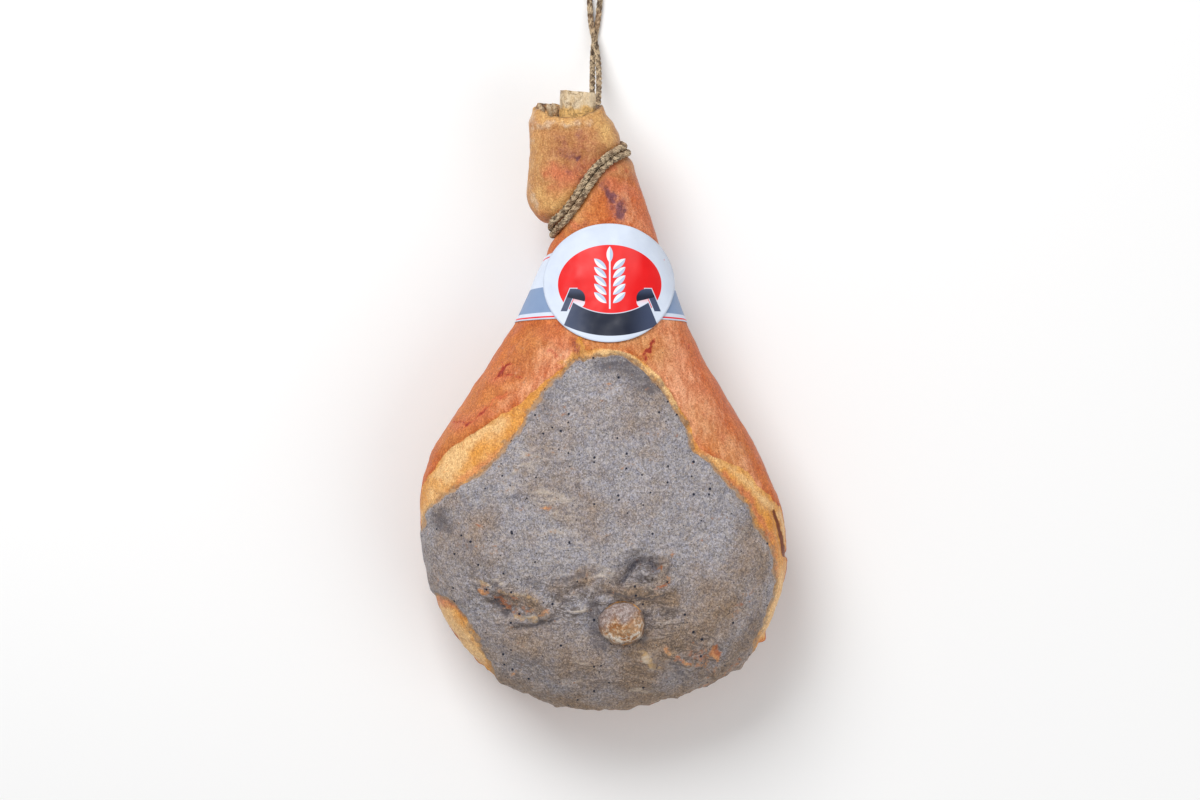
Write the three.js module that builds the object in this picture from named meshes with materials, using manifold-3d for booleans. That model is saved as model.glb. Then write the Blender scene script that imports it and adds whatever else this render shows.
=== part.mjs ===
// A bone-in cured ham, lying on its skin side with its larded face up, with its paper band,
// its oval label and its hanging cord.
// Millimetres. +X runs across the face, +Y from the butt to the hock, +Z up from the table.
// The origin is on the table, under the middle of the ham.
import * as THREE from "three";
import { mergeVertices } from "three/addons/utils/BufferGeometryUtils.js";
import Module from "manifold-3d";

const wasm = await Module();
wasm.setup();

// ---------------------------------------------------------------- driving dimensions

const GAP = 0.3; // left between pieces that touch
const PASTE_THICK = 3; // lard and pepper paste on the face
const PAPER_THICK = 0.6;
const CORD = 5.5; // diameter of the hanging cord
const CORD_SIDES = 8;
const BEYOND = 300; // the reach of the blocks that cut a piece, past the ham all round
const SECTION_SIDES = 40; // corners of each cross-section of the ham
const RINGS_BETWEEN = 2; // loft rings for each control ring
const FACE_SQUARENESS = 2.5; // superellipse power of the face side, 2 is round
const BACK_SQUARENESS = 2.25; // the same for the skin side

// Cross-sections from the butt to the hock. left and right are the outline seen from above,
// face and back the heights of the two sides, and rim the height where the section is widest.
const CONTROL_RINGS = [
  { y: -277, left: -14, right: 2, back: 72, face: 81, rim: 76 },
  { y: -276, left: -32, right: 22, back: 62, face: 89, rim: 76 },
  { y: -270, left: -54, right: 50, back: 44, face: 101, rim: 75 },
  { y: -254, left: -92, right: 98, back: 20, face: 118, rim: 73 },
  { y: -229, left: -120, right: 134, back: 6, face: 131, rim: 71 },
  { y: -200, left: -141, right: 153, back: -2, face: 139, rim: 70 },
  { y: -168, left: -153, right: 163, back: -6, face: 144, rim: 70 },
  { y: -142, left: -160, right: 167, back: -8, face: 147, rim: 70 },
  { y: -116, left: -164.5, right: 165, back: -9, face: 148, rim: 70 },
  { y: -88, left: -165.5, right: 157, back: -9, face: 148, rim: 71 },
  { y: -62, left: -159.5, right: 146, back: -8, face: 147, rim: 72 },
  { y: -34, left: -147, right: 132, back: -5, face: 145, rim: 73 },
  { y: 0, left: -124, right: 111, back: 0, face: 142, rim: 75 },
  { y: 36, left: -101, right: 90, back: 9, face: 137, rim: 77 },
  { y: 73, left: -77, right: 74, back: 20, face: 131, rim: 79 },
  { y: 110, left: -60, right: 61, back: 31, face: 125, rim: 81 },
  { y: 138, left: -47, right: 52, back: 40, face: 120, rim: 82 },
  { y: 153, left: -42, right: 47, back: 44, face: 117, rim: 82 },
  { y: 162, left: -52, right: 43, back: 46, face: 116, rim: 83 },
  { y: 171, left: -65, right: 40, back: 48, face: 116, rim: 83 },
  { y: 188, left: -69, right: 34, back: 50, face: 116, rim: 84 },
  { y: 212, left: -67, right: 25, back: 51, face: 116, rim: 84 },
  { y: 238, left: -66, right: 13, back: 52, face: 115, rim: 84 },
  { y: 256, left: -66, right: 5, back: 53, face: 112, rim: 84 },
  { y: 268, left: -62, right: -2, back: 58, face: 107, rim: 84 },
  { y: 274, left: -52, right: -12, back: 68, face: 99, rim: 84 },
];

// The foot is sawn off along a slope: nearer the butt on the face side than on the skin side.
const SAWN_END = { y: 262, z: 84, slope: 0.22 };
const HOCK_BONE = { x: -22, z: 86, wide: 34, thick: 27, inside: 236, end: 280, taper: 0.92 };
const TENDON_HOLLOW = { x: -50, y: 268, z: 84, radii: [9, 13, 15] };
// The head of the thigh bone stands out of the face.
const BONE_KNOB = { x: 20, y: -200, z: 134, radii: [21, 20, 17] };

// Where the paste ends, seen from above. Past the butt and the lower left side it runs over the rim.
const PASTE_EDGE = [
  [0, 39], [18, 39], [29, 33], [44, 19], [60, -4], [74, -27], [80, -46], [96, -60],
  [110, -76], [128, -93], [138, -116], [149, -131], [153, -150], [151, -178], [145, -200],
  [136, -220], [122, -244], [60, -300], [-60, -300], [-84, -270],
  [-92, -254], [-104, -231], [-117, -208], [-126, -190], [-140, -178], [-162, -171],
  [-190, -150], [-190, -132], [-163, -118], [-156, -98], [-136, -83], [-104, -63],
  [-85, -41], [-66, -16], [-50, 12], [-38, 21], [-24, 34],
];
const PASTE_LOWEST = 66; // how far down the rim the paste reaches

const BAND = { low: 71, high: 137 }; // the paper band's edges along the shank
const OVAL = { x: 5, y: 106.5, wide: 117, high: 107, lowest: 84 }; // the label stuck on the band

// The cord is a loop choked round the shank. The pair of strands is laid by its middle line,
// as [turn about the hock's axis in degrees, distance along Y, lift off the skin].
// A turn of 0 is the right side, 90 the face, 180 the heel side and 270 the skin side.
const HOCK_AXIS = { y: [130, 260], x: [0, -32], z: [82, 84] };
const SLING_PAIR = [
  [302.5, 256, 6.4], [301.5, 251, 6], [300, 246, 4], [298, 240, 0.8], [294, 231, 0], [286, 220, 0],
  [273, 206, 0], [256, 192, 0], [238, 177, 0], [218, 163, 0], [198, 154, 0], [180, 151, 0],
  [163, 152.5, 0], [146, 158, 0], [128, 167, 0], [110, 179, 0], [92, 192, 0], [74, 204, 0],
  [54, 215, 0], [34, 222, 0], [14, 226, 0], [-6, 228, 0], [-24, 230, 0.6],
];
// The bight at the pair's end, round the two legs, as [turn, along, lift] of the one cord.
const BIGHT = [
  [-37, 226, 3], [-46, 227, 6], [-56, 228.5, 6.4], [-66, 230.5, 6.4], [-75, 234.5, 4.4],
  [-79, 240, 2], [-76, 246, 0], [-67, 250, 0], [-56, 250.5, 0], [-46, 247, 0], [-37, 241, 0],
];
// The free legs, from the sling to the knot, in plain coordinates.
const LEG_1 = [
  [-10.8, 257, 46.5], [-10.3, 267, 43.6], [-9.9, 278, 38], [-9.7, 291, 28], [-9.6, 304, 17],
  [-9.3, 318, 8], [-8, 330, 4], [-6.2, 341, 3], [-4.4, 352, 3], [-3.2, 364, 3], [-2, 376, 3],
  [1.5, 388, 3], [5.2, 401, 3], [6.6, 414, 3], [5, 426, 3.2], [1, 436, 4.5],
];
const LEG_2 = [
  [-5.3, 257.6, 48.9], [-4.6, 267, 45.6], [-4, 278, 39.6], [-3.6, 291, 29.6], [-3.9, 304, 20.4],
  [-5.2, 318, 13.4], [-7.4, 330, 10.3], [-10, 341, 8], [-11.4, 352, 5], [-12, 364, 3.2],
  [-13, 376, 3], [-16.5, 388, 3], [-19.8, 401, 3], [-20.8, 414, 3], [-18, 426, 3.2], [-12, 436, 4.5],
];
const KNOT = { x: -5.5, y: 448, z: 9.6, radii: [12, 11.5, 9.3] };
const TAILS = [
  [[-8.5, 452, 7], [-10, 464, 3.6], [-13, 476, 3]],
  [[-2.5, 452, 7], [-1, 464, 3.6], [3, 475, 3]],
];

// ---------------------------------------------------------------- curves and solids

// The value of a column of the control rings at ring number u, with no overshoot.
function eased(column, u) {
  const value = (i) => CONTROL_RINGS[i][column];
  const last = CONTROL_RINGS.length - 1;
  const slope = (i) => {
    if (i <= 0 || i >= last) return 0;
    const before = value(i) - value(i - 1);
    const after = value(i + 1) - value(i);
    return before * after > 0 ? (2 * before * after) / (before + after) : 0;
  };
  const i = Math.min(Math.floor(u), last - 1);
  const t = u - i;
  const rise = value(i + 1) - value(i);
  const [m0, m1] = [slope(i), slope(i + 1)];
  return value(i) + t * (m0 + t * (3 * rise - 2 * m0 - m1 + t * (m0 + m1 - 2 * rise)));
}

function sectionAt(u) {
  const [left, right, rim] = ["left", "right", "rim"].map((column) => eased(column, u));
  return {
    y: eased("y", u),
    middle: (left + right) / 2,
    halfWide: (right - left) / 2,
    rim,
    rise: eased("face", u) - rim,
    drop: rim - eased("back", u),
  };
}

// The section at a distance y along the ham, found by halving.
function sectionAtY(y) {
  let [low, high] = [0, CONTROL_RINGS.length - 1];
  for (let i = 0; i < 40; i++) {
    const u = (low + high) / 2;
    if (eased("y", u) < y) low = u;
    else high = u;
  }
  return sectionAt(low);
}

const power = (value, exponent) => Math.sign(value) * Math.abs(value) ** exponent;

function sectionPoint(section, angle) {
  const [across, up] = [Math.cos(angle), Math.sin(angle)];
  const exponent = 2 / (up > 0 ? FACE_SQUARENESS : BACK_SQUARENESS);
  return new THREE.Vector3(
    section.middle + section.halfWide * power(across, exponent),
    section.y,
    Math.max(0, section.rim + (up > 0 ? section.rise : section.drop) * power(up, exponent)),
  );
}

// The ham's surface, moved out along its normals by grow.
function hamSurface(grow = 0) {
  const rings = (CONTROL_RINGS.length - 1) * RINGS_BETWEEN;
  const points = [];
  const faces = [];
  for (let i = 0; i <= rings; i++) {
    const section = sectionAt(i / RINGS_BETWEEN);
    for (let j = 0; j < SECTION_SIDES; j++)
      points.push(sectionPoint(section, (2 * Math.PI * j) / SECTION_SIDES));
  }
  const corner = (i, j) => i * SECTION_SIDES + (j % SECTION_SIDES);
  for (let i = 0; i < rings; i++)
    for (let j = 0; j < SECTION_SIDES; j++) {
      faces.push(corner(i, j), corner(i + 1, j), corner(i, j + 1));
      faces.push(corner(i, j + 1), corner(i + 1, j), corner(i + 1, j + 1));
    }
  for (const [ring, turned] of [[0, false], [rings, true]]) {
    const end = sectionAt(ring / RINGS_BETWEEN);
    const centre = points.push(new THREE.Vector3(end.middle, end.y, end.rim)) - 1;
    for (let j = 0; j < SECTION_SIDES; j++) {
      const [a, b] = [corner(ring, j), corner(ring, j + 1)];
      faces.push(centre, ...(turned ? [b, a] : [a, b]));
    }
  }
  const geometry = new THREE.BufferGeometry().setFromPoints(points).setIndex(faces);
  geometry.computeVertexNormals();
  const normals = geometry.getAttribute("normal");
  const normal = new THREE.Vector3();
  points.forEach((p, i) => p.addScaledVector(normal.fromBufferAttribute(normals, i), grow));
  return new THREE.BufferGeometry().setFromPoints(points).setIndex(faces);
}

function solid(geometry) {
  const bare = (geometry.index ? geometry.toNonIndexed() : geometry.clone()).deleteAttribute("uv");
  bare.deleteAttribute("normal");
  const merged = mergeVertices(bare, 1e-3);
  return new wasm.Manifold(
    new wasm.Mesh({
      numProp: 3,
      vertProperties: merged.attributes.position.array,
      triVerts: new Uint32Array(merged.index.array),
    }),
  );
}

function geometryOf(made) {
  const mesh = made.getMesh();
  const geometry = new THREE.BufferGeometry();
  geometry.setAttribute("position", new THREE.BufferAttribute(mesh.vertProperties, 3));
  geometry.setIndex(new THREE.BufferAttribute(mesh.triVerts, 1));
  return geometry;
}

function ellipsoid({ x, y, z, radii }) {
  return new THREE.SphereGeometry(1, 20, 12).scale(...radii).translate(x, y, z);
}

// A flat outline in X and Y, standing from a height to well above the ham.
function prism(shape, low, divisions) {
  return new THREE.ExtrudeGeometry(shape, {
    depth: BEYOND,
    bevelEnabled: false,
    curveSegments: divisions,
  }).translate(0, 0, low);
}

// A cord's tube along its points.
function cordTube(points, steps) {
  const section = new THREE.Shape();
  for (let i = 0; i < CORD_SIDES; i++) {
    const angle = (2 * Math.PI * i) / CORD_SIDES;
    const at = [(CORD / 2) * Math.cos(angle), (CORD / 2) * Math.sin(angle)];
    if (i) section.lineTo(...at);
    else section.moveTo(...at);
  }
  return new THREE.ExtrudeGeometry(section, {
    steps,
    bevelEnabled: false,
    extrudePath: new THREE.CatmullRomCurve3(points, false, "centripetal"),
  });
}

// ---------------------------------------------------------------- the cord on the skin

function hockAxisAt(y) {
  const t = (y - HOCK_AXIS.y[0]) / (HOCK_AXIS.y[1] - HOCK_AXIS.y[0]);
  return { x: THREE.MathUtils.lerp(...HOCK_AXIS.x, t), z: THREE.MathUtils.lerp(...HOCK_AXIS.z, t) };
}

// The middle of a cord that lies on the skin, at a turn about the hock's axis.
function onSkin(turn, y, lift) {
  const section = sectionAtY(y);
  const axis = hockAxisAt(y);
  const [across, up] = [Math.cos(turn), Math.sin(turn)];
  const inside = (radius) => {
    const dx = (axis.x + radius * across - section.middle) / section.halfWide;
    const dz = axis.z + radius * up - section.rim;
    const high = dz > 0 ? section.rise : section.drop;
    const squareness = dz > 0 ? FACE_SQUARENESS : BACK_SQUARENESS;
    return Math.abs(dx) ** squareness + Math.abs(dz / high) ** squareness < 1;
  };
  let [low, high] = [0, 150];
  for (let i = 0; i < 30; i++) {
    const radius = (low + high) / 2;
    if (inside(radius)) low = radius;
    else high = radius;
  }
  const away = low + CORD / 2 + GAP + lift;
  return new THREE.Vector3(axis.x + away * across, y, axis.z + away * up);
}

// One strand of the pair, to the side of its middle line.
function slingStrand(side) {
  const middle = SLING_PAIR.map(([turn, y, lift]) => onSkin(THREE.MathUtils.degToRad(turn), y, lift));
  const spacing = (CORD + GAP) / 2;
  return middle.map((point, i) => {
    const forward = new THREE.Vector3().subVectors(
      middle[Math.min(i + 1, middle.length - 1)],
      middle[Math.max(i - 1, 0)],
    );
    const axis = hockAxisAt(point.y);
    const out = new THREE.Vector3(point.x - axis.x, 0, point.z - axis.z);
    const beside = new THREE.Vector3().crossVectors(forward, out).setLength(side * spacing);
    const moved = point.clone().add(beside);
    const movedAxis = hockAxisAt(moved.y);
    const turn = Math.atan2(moved.z - movedAxis.z, moved.x - movedAxis.x);
    return onSkin(turn, moved.y, SLING_PAIR[i][2]);
  });
}

// ---------------------------------------------------------------- the pieces

const ham = solid(hamSurface());
const knob = solid(ellipsoid(BONE_KNOB));

function shellOn(from, thick) {
  return solid(hamSurface(from + thick)).subtract(solid(hamSurface(from)));
}

function makeHam() {
  const saw = new THREE.BoxGeometry(BEYOND, BEYOND, BEYOND)
    .translate(0, BEYOND / 2, 0)
    .rotateX(Math.atan(SAWN_END.slope))
    .translate(0, SAWN_END.y, SAWN_END.z);
  const bone = new THREE.CylinderGeometry(HOCK_BONE.taper / 2, 1 / 2, 1, 20)
    .scale(HOCK_BONE.wide, HOCK_BONE.end - HOCK_BONE.inside, HOCK_BONE.thick)
    .translate(HOCK_BONE.x, (HOCK_BONE.end + HOCK_BONE.inside) / 2, HOCK_BONE.z);
  const sawn = ham.subtract(solid(saw)).subtract(solid(ellipsoid(TENDON_HOLLOW)));
  return geometryOf(sawn.add(solid(bone)).add(knob));
}

function makePaste() {
  const edge = new THREE.Shape();
  edge.setFromPoints(
    new THREE.CatmullRomCurve3(
      PASTE_EDGE.map(([x, y]) => new THREE.Vector3(x, y, 0)),
      true,
      "centripetal",
    )
      .getPoints(2 * PASTE_EDGE.length)
      .slice(1)
      .map((p) => new THREE.Vector2(p.x, p.y)),
  );
  const grownKnob = solid(ellipsoid({ ...BONE_KNOB, radii: BONE_KNOB.radii.map((r) => r + GAP) }));
  return geometryOf(
    shellOn(GAP, PASTE_THICK).intersect(solid(prism(edge, PASTE_LOWEST))).subtract(grownKnob),
  );
}

function makeBand() {
  const slab = new THREE.BoxGeometry(BEYOND, BAND.high - BAND.low, BEYOND);
  slab.translate(0, (BAND.low + BAND.high) / 2, 0);
  return geometryOf(shellOn(GAP, PAPER_THICK).intersect(solid(slab)));
}

function makeOval() {
  const outline = new THREE.Shape();
  outline.absellipse(OVAL.x, OVAL.y, OVAL.wide / 2, OVAL.high / 2, 0, 2 * Math.PI);
  const above = solid(prism(outline, OVAL.lowest, 28));
  return geometryOf(shellOn(2 * GAP + PAPER_THICK, PAPER_THICK).intersect(above));
}

function makeSling() {
  const bight = BIGHT.map(([turn, y, lift]) => onSkin(THREE.MathUtils.degToRad(turn), y, lift));
  const tube = solid(cordTube([...slingStrand(-1), ...bight, ...slingStrand(1).reverse()], 110));
  return geometryOf(tube.subtract(solid(hamSurface(GAP))));
}

function makeKnot() {
  const tails = TAILS.map((tail) => solid(cordTube(tail.map((p) => new THREE.Vector3(...p)), 5)));
  return geometryOf(tails.reduce((made, tail) => made.add(tail), solid(ellipsoid(KNOT))));
}

const legGeometry = (points) => cordTube(points.map((p) => new THREE.Vector3(...p)), 32);

// ---------------------------------------------------------------- the assembly

const MATERIALS = {
  rind: new THREE.MeshStandardMaterial({ color: 0xd08a5c, roughness: 0.45 }),
  paste: new THREE.MeshStandardMaterial({ color: 0x9c9490, roughness: 0.75 }),
  band: new THREE.MeshStandardMaterial({ color: 0x90a9cb, roughness: 0.5 }),
  label: new THREE.MeshStandardMaterial({ color: 0xe6ecf8, roughness: 0.4 }),
  cord: new THREE.MeshStandardMaterial({ color: 0x98745a, roughness: 0.9 }),
};

const root = new THREE.Group();

function place(name, geometry, material) {
  const mesh = new THREE.Mesh(geometry, material);
  mesh.name = name;
  root.add(mesh);
}

place("ham_leg", makeHam(), MATERIALS.rind);
place("lard_paste", makePaste(), MATERIALS.paste);
place("paper_band", makeBand(), MATERIALS.band);
place("oval_label", makeOval(), MATERIALS.label);
place("cord_sling", makeSling(), MATERIALS.cord);
place("cord_leg_1", legGeometry(LEG_1), MATERIALS.cord);
place("cord_leg_2", legGeometry(LEG_2), MATERIALS.cord);
place("cord_knot", makeKnot(), MATERIALS.cord);

export default root;
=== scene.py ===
"""A bone-in cured ham lying on its skin side, modelled for looks around its CAD frame.

The leg with its rind, trimmed fat and bones, the lard paste spread on its face, the paper band and
oval label round its shank, and the twisted cord that it hangs by. Blender's own values are in
metres. The places and sizes named below are in millimetres, and MM turns them into metres.
"""

import itertools
import math

import bpy
import numpy as np
from bpy.props import FloatProperty, FloatVectorProperty, IntProperty, PointerProperty
from bpy.types import Operator, Panel, PropertyGroup
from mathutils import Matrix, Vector
from mathutils.bvhtree import BVHTree


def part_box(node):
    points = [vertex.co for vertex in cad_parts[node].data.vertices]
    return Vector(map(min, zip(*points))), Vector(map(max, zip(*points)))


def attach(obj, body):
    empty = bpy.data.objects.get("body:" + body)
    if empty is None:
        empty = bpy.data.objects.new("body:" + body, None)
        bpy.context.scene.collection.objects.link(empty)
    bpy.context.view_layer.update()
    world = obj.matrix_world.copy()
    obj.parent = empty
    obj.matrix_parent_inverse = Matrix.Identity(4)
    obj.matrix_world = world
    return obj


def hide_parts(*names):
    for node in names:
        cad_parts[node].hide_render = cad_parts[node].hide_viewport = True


bl_info = {
    "name": "Cured Ham",
    "version": (1, 0, 0),
    "blender": (4, 5, 0),
    "location": "3D View > Sidebar > Cured Ham",
    "description": "Models a bone-in cured ham with its lard paste, paper label and hanging cord",
    "category": "Add Mesh",
}

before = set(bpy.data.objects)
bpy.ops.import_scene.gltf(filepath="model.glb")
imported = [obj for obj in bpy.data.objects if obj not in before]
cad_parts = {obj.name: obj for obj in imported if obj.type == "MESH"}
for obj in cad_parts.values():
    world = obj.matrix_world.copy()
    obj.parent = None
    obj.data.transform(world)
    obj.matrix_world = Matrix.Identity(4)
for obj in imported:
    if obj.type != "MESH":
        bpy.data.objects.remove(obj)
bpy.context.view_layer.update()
MM = 0.001
BODY = "root"

# ------------------------------------------------------------------ places on the ham, in mm

# Where the rind ends and the trimmed face begins, seen from above.
FACE_EDGE = [
    (0, 46), (17, 43.5), (26, 40.6), (37, 32.5), (46, 24), (58, 10.5), (67, -6), (77, -20), (82, -38),
    (96, -50), (112, -56), (127, -63), (135, -72), (143, -81), (151, -88), (158, -96), (175, -100),
    (190, -200), (120, -300), (-120, -300), (-190, -200), (-185, -90), (-165, -82), (-159, -73),
    (-151, -63), (-144, -52), (-136, -44), (-124, -34.5), (-108, -25.5), (-92, -14), (-78, -6),
    (-66.6, 3.5), (-55, 14), (-46, 21), (-35, 29), (-28, 38), (-15, 45),
]  # fmt: skip
# Where the paste ends. It runs over the rim at the butt and at the lower left side.
PASTE_EDGE = [
    (0, 39), (18, 39), (29, 33), (44, 19), (60, -4), (74, -27), (80, -46), (96, -60),
    (110, -76), (128, -93), (138, -116), (149, -131), (153, -150), (151, -178), (145, -200),
    (136, -220), (122, -244), (60, -300), (-60, -300), (-84, -270),
    (-92, -254), (-104, -231), (-117, -208), (-126, -190), (-140, -178), (-162, -171),
    (-190, -150), (-190, -132), (-163, -118), (-156, -98), (-136, -83), (-104, -63),
    (-85, -41), (-66, -16), (-50, 12), (-38, 21), (-24, 34),
]  # fmt: skip
KNOB = (17.0, -200.0)  # the middle of the thigh bone's head
SAWN = {"y": 262.0, "z": 84.0, "slope": 0.22}  # the cut through the foot
SAWN_MIDDLE = (-31.0, 83.0)

# Lifts and dents of the rind and fat: height, half width, and the line that they follow.
LEG_RELIEF = [
    (-1.8, 7, [(-34, 226), (-28, 216)]), (1.4, 9, [(-12, 224), (-8, 212)]), (-1.0, 3.5, [(-20, 217.6)]),
    (1.6, 13, [(-46, 208), (-44, 190)]), (1.5, 7, [(-13, 238), (-3, 205)]),
    (-1.1, 5, [(-24, 238), (-21, 208)]), (1.3, 8, [(10, 195), (25, 152)]), (-0.9, 5, [(-2, 176), (6, 146)]),
    (3.0, 2.2, [(-21.5, 53), (-20, 44), (-16.5, 36)]), (-2.6, 2.0, [(-25.5, 54), (-24, 44), (-21, 36.5)]),
    (1.9, 2.8, [
        (-4, 43), (8, 44.5), (18, 42), (28, 37.5), (38, 28.5), (47, 20), (57, 8), (66, -7), (74, -21),
    ]),
    (-1.2, 1.5, [(30, 43), (41, 33.5), (50, 24), (61, 10), (70, -6), (79, -22)]),
    (1.5, 2.6, [(-60, 251.5), (-40, 249), (-26, 249.5), (-12, 252)]),
    (-1.2, 2.6, [(-56, 243), (-36, 242), (-16, 245)]),
    (-0.8, 1.3, [(-83, 33.7), (-91, 26.7), (-94.5, 21), (-87.5, 23), (-76, 22)]),
    (-0.7, 1.4, [(-133, -19.7), (-123.5, -22.6), (-112, -15.6), (-103, -8)]),
    (1.2, 5, [(-150, -50), (-128, -26), (-100, -8), (-75, 8)]),
    (1.0, 12, [(105, 10), (125, -25), (150, -60)]), (-0.9, 4, [(118, 0), (135, -30), (148, -52)]),
    (1.1, 6, [(-50, 62), (-75, 40), (-110, 8)]), (-1.0, 4, [(-60, 66), (-88, 44)]),
]  # fmt: skip

NUB = (144, -216, 60)  # a dry nub of skin at the rim
SLIT = [(154, -100), (157.5, -109), (160.3, -120), (162.6, -131), (164.2, -141)]  # a knife cut in the fat

# Lifts and dents of the larded face, in the same form.
FACE_RELIEF = [
    (3.6, 17, [(17, -199), (16, -203)]), (-3.6, 7, [(-8, -188), (-8, -206), (2, -222)]),
    (-2.8, 5, [(39, -196), (42, -208)]), (-1.6, 4, [(4, -181), (30, -181)]),
    (-3.6, 11, [(32, -154), (40, -154)]),
    (-5.6, 3.6, [(18, -164), (23, -157), (25, -150), (33, -145), (43, -144.5), (48, -149)]),
    (-2.6, 2.6, [(26, -163), (36, -163), (45, -161)]), (3.4, 4.2, [(38, -154.5), (41, -156)]),
    (1.6, 1.6, [(33, -150), (40, -149)]),
    (2.6, 3.6, [(52, -139), (56, -149), (54, -160), (46, -167), (28, -168.5)]),
    (3.0, 4.0, [(-3, -192), (3, -182), (13, -177), (24, -178), (33, -184)]),
    (3.4, 8, [(0, -160), (8, -147), (18, -134), (30, -130)]),
    (3.0, 6, [(8, -168), (28, -173), (48, -174), (60, -166)]), (2.0, 5, [(52, -180), (62, -186)]),
    (2.6, 5, [(-110, -168), (-93, -171), (-74, -174), (-57, -181), (-48, -188)]),
    (-4.2, 6, [(-97, -184), (-84, -190)]), (1.4, 4, [(-74, -187), (-60, -196)]),
    (-2.4, 2.2, [(-80, -204), (-62, -203), (-48, -198)]), (-2.2, 4, [(-66, -163), (-60, -167)]),
    (2.0, 4, [(-98, -161), (-92, -164)]), (-1.4, 3, [(-118, -160), (-108, -169)]),
    (1.4, 3, [(-44, -174), (-15, -157)]), (-1.5, 2.4, [(-42, -180), (-18, -166)]),
    (1.3, 3, [(-40, -186), (-24, -175)]), (2.2, 2.8, [(-29, -189), (-16, -190)]),
    (2.4, 6, [(38, -229), (40, -236)]), (-1.6, 5, [(50, -238), (66, -252)]),
    (1.5, 4, [(42, -250), (66, -262)]), (1.7, 4, [(56, -226), (60, -230)]),
    (1.9, 5, [(70, -237), (84, -240)]), (2.0, 7, [(90, -231), (100, -236)]),
    (1.8, 2.4, [(95, -225), (102, -234), (98, -245)]), (-1.8, 2.0, [(91, -229), (95, -238), (92, -246)]),
    (1.4, 2.2, [(66, -232), (73, -238), (80, -238)]), (-1.4, 2.0, [(68, -238), (76, -244)]),
    (1.6, 2.2, [(104, -218), (110, -232)]), (-1.8, 3, [(80, -229), (84, -246)]),
    (1.5, 4, [(88, -248), (96, -243)]), (-1.6, 9, [(-146, -106), (-140, -120)]),
    (1.2, 10, [(-120, -140), (-90, -128)]), (-1.3, 10, [(-112, -108), (-70, -92)]),
    (1.3, 14, [(-60, -60), (10, -20)]), (-1.2, 12, [(90, -110), (70, -80)]),
    (1.3, 8, [(112, -120), (138, -150)]), (-1.4, 6, [(128, -128), (138, -112)]),
    (-1.6, 8, [(118, -190), (104, -204)]), (1.4, 12, [(-40, -225), (-10, -240)]),
    (-1.2, 6, [(-80, -236), (-60, -252)]), (1.2, 8, [(-90, -215), (-70, -225)]),
    (-1.4, 4, [(10, 30), (-6, 24)]),
]  # fmt: skip

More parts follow.
